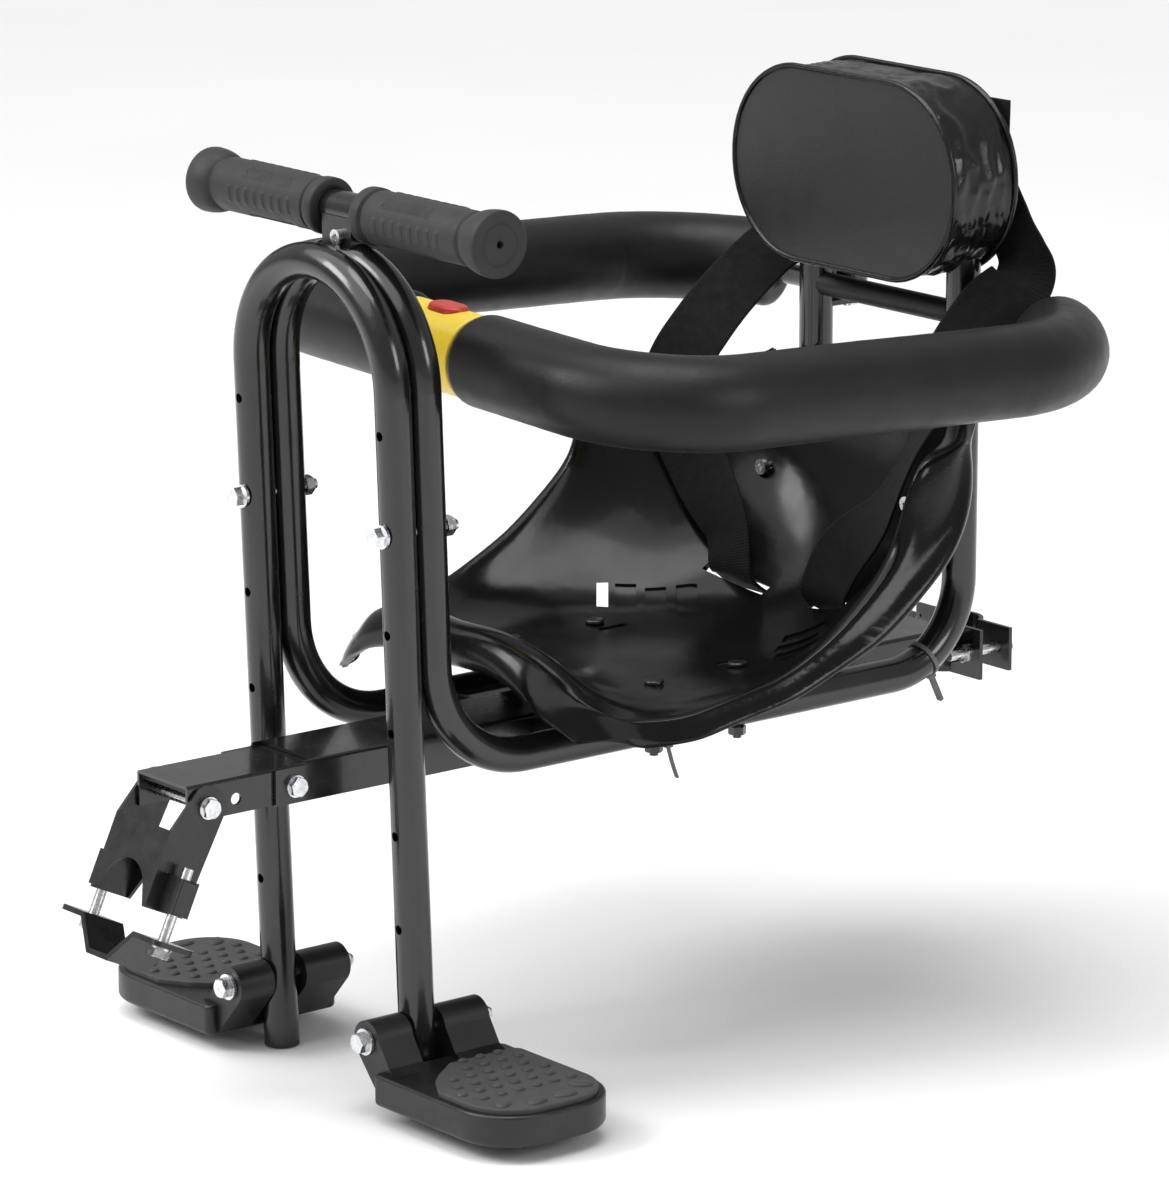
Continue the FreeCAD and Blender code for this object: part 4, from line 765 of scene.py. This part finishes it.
def make_dots(name, sx, body):
    verts, faces = [], []
    for i, x in enumerate((97.5, 109.0, 120.5, 132.0, 143.5, 155.0)):
        for y in np.arange(-17.0 + (6.0 if i % 2 else 0.0), 55.0, 12.0):
            if ((x - 131.0) * 35.0 + (y + 23.0) * 36.5) / 50.57 < 4.0 or x < 100 and y > 52:
                continue
            dome(x, y, 2.6, 3.2, 1.8, 0.0, verts, faces, sx)
    for x, y, rx, ry, t in ((168.0, -9.0, 4.6, 7.4, 0.8), (176.5, 8.0, 4.4, 7.2, 0.25), (176.5, 27.0, 4.4, 7.2, -0.15), (168.5, 44.0, 4.4, 7.0, -0.7)):
        dome(x, y, rx, ry, 2.0, t, verts, faces, sx)
    return mesh_piece(name, verts, faces, mat_m, body)


make_dots("pedal_dots_left", 1, "left_pedal")
make_dots("pedal_dots_right", -1, "right_pedal")

# ---------------------------------------------------------------- ties round the rails, with their cut tails
tie_m = Mat("tie_plastic", g(0.11), 0.45, 0.0, Specular_IOR_Level=0.5)
tie_m.color(tie_m.noise(120.0, 4.0, 0.6), [(0.25, g(0.085)), (0.6, g(0.115)), (0.85, g(0.15))])
tie_m.rough(tie_m.noise(160.0, 4.0, 0.6), 0.36, 0.55)
tie_m.bump(tie_m.noise(1600.0, 2.0, 0.5), 0.12, 0.0003)


def make_tie(name, x, y, z, tail, tilt=0.0, tail_half=1.3, tail_thick=0.55):
    """Band round the rail at (x, y, z), with a small head below and a tail that hangs to tail (dy, dz); tilt is the rail's rise there."""
    verts, faces = [], []
    k = 40
    ct, st_ = math.cos(tilt), math.sin(tilt)
    tail = (tail[0] * ct + tail[1] * st_, -tail[0] * st_ + tail[1] * ct)

    def place(px, v, w):
        return W(px, y + v * ct - w * st_, z + v * st_ + w * ct)

    for dy, r in ((-1.3, 10.25), (-1.3, 11.1), (1.3, 11.1), (1.3, 10.25)):
        for j in range(k):
            a = 2 * math.pi * j / k
            verts.append(place(x + r * math.cos(a), dy, r * math.sin(a)))
    faces += tube_faces(4, k, True)

    def slab(path, half, thick):
        base = len(verts)
        for i, q in enumerate(path):
            t = np.array(path[min(i + 1, len(path) - 1)]) - np.array(path[max(i - 1, 0)])
            t = t / np.linalg.norm(t)
            nn = np.array((-t[1], t[0]))
            for sx, st in ((-1, -1), (1, -1), (1, 1), (-1, 1)):
                verts.append(place(x + sx * half, q[0] + nn[0] * st * thick, q[1] + nn[1] * st * thick))
        faces.extend([(base + f[0], base + f[1], base + f[2], base + f[3]) for f in tube_faces(len(path), 4)])
        faces.append(tuple(base + j for j in range(4)))
        faces.append(tuple(base + (len(path) - 1) * 4 + j for j in range(4)))

    slab([(-2.2, -12.6), (2.2, -12.6)], 2.2, 1.5)
    slab([(tail[0] * t, -13.0 + (tail[1] + 13.0) * t - 1.2 * math.sin(math.pi * t)) for t in (0.0, 0.2, 0.4, 0.6, 0.8, 1.0)], tail_half, tail_thick)
    return mesh_piece(name, verts, faces, tie_m, "frame", smooth=False)


make_tie("rail_tie_front_left", 64.0, 191.0, -136.0, (7.0, -33.0))
make_tie("rail_tie_rear_left", 64.0, 383.0, -129.6, (14.0, -27.0), math.radians(28.7), 1.8, 1.2)

# ---------------------------------------------------------------- the button's spring, one coil drawn at rest
def sleeve_point(x, dy, h):
    """Point of the latch sleeve: x along it, dy rearwards, h up from its axis, working mm."""
    return W(x * math.cos(RING_ROLL) + h * math.sin(RING_ROLL), Y_RING_F + dy, Z_RING_F - x * math.sin(RING_ROLL) + h * math.cos(RING_ROLL))


def make_spring():
    verts, k, turns, per = [], 8, 3.0, 28
    for i in range(int(turns * per) + 1):
        a = 2 * math.pi * i / per
        h = 10.3 + 1.15 * i / per
        for j in range(k):
            q = 2 * math.pi * j / k
            r = 4.0 + 0.35 * math.cos(q)
            verts.append(sleeve_point(3.0 + r * math.cos(a), r * math.sin(a), h + 0.35 * math.sin(q)))
    n = int(turns * per) + 1
    faces = tube_faces(n, k) + [tuple(range(k)), tuple(range((n - 1) * k, n * k))]
    o = mesh_piece("button_coil", verts, faces, zinc, "frame")
    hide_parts("button_spring")
    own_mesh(o)
    return o


make_spring()

# ---------------------------------------------------------------- floor and light
floor_m =Mat("pale_floor", (0.86, 0.86, 0.86), 0.7)
floor_m.color(floor_m.noise(3.0, 2.0, 0.5), [(0.3, (0.85, 0.85, 0.85)), (0.7, (0.87, 0.87, 0.87))])
me = bpy.data.meshes.new("floor")
z = cad_lo.z - 0.0008
me.from_pydata([(-14, -14, z), (14, -14, z), (14, 14, z), (-14, 14, z)], [], [(0, 1, 2, 3)])
me.materials.append(floor_m.m)
floor = bpy.data.objects.new("floor", me)
scene.collection.objects.link(floor)

world = bpy.data.worlds.new("studio")
world.use_nodes = True
world.node_tree.nodes["Background"].inputs["Color"].default_value = (1.0, 1.0, 1.0, 1.0)
world.node_tree.nodes["Background"].inputs["Strength"].default_value = 0.42
scene.world = world


def area(name, loc, target, size, power, size_y=None):
    d = bpy.data.lights.new(name, "AREA")
    d.energy = power
    d.size = size
    if size_y:
        d.shape = "RECTANGLE"
        d.size_y = size_y
    o = bpy.data.objects.new(name, d)
    scene.collection.objects.link(o)
    o.location = loc
    o.rotation_euler = (Vector(target) - Vector(loc)).to_track_quat("-Z", "Y").to_euler()
    return o


mid = (0.0, 0.3, 0.12)
area("key_left", (-1.2, -1.9, 2.1), mid, 1.2, 42.0)
area("top", (0.3, 0.4, 2.6), mid, 1.4, 26.0)
area("right", (2.6, 0.9, 1.2), mid, 0.9, 16.0)
sun_d = bpy.data.lights.new("sky_soft", "SUN")
sun_d.energy = 2.2
sun_d.angle = math.radians(75.0)
sun = bpy.data.objects.new("sky_soft", sun_d)
scene.collection.objects.link(sun)
sun.rotation_euler = Vector((0.25, 0.55, -1.0)).to_track_quat("-Z", "Y").to_euler()
scene.view_settings.view_transform = "Standard"
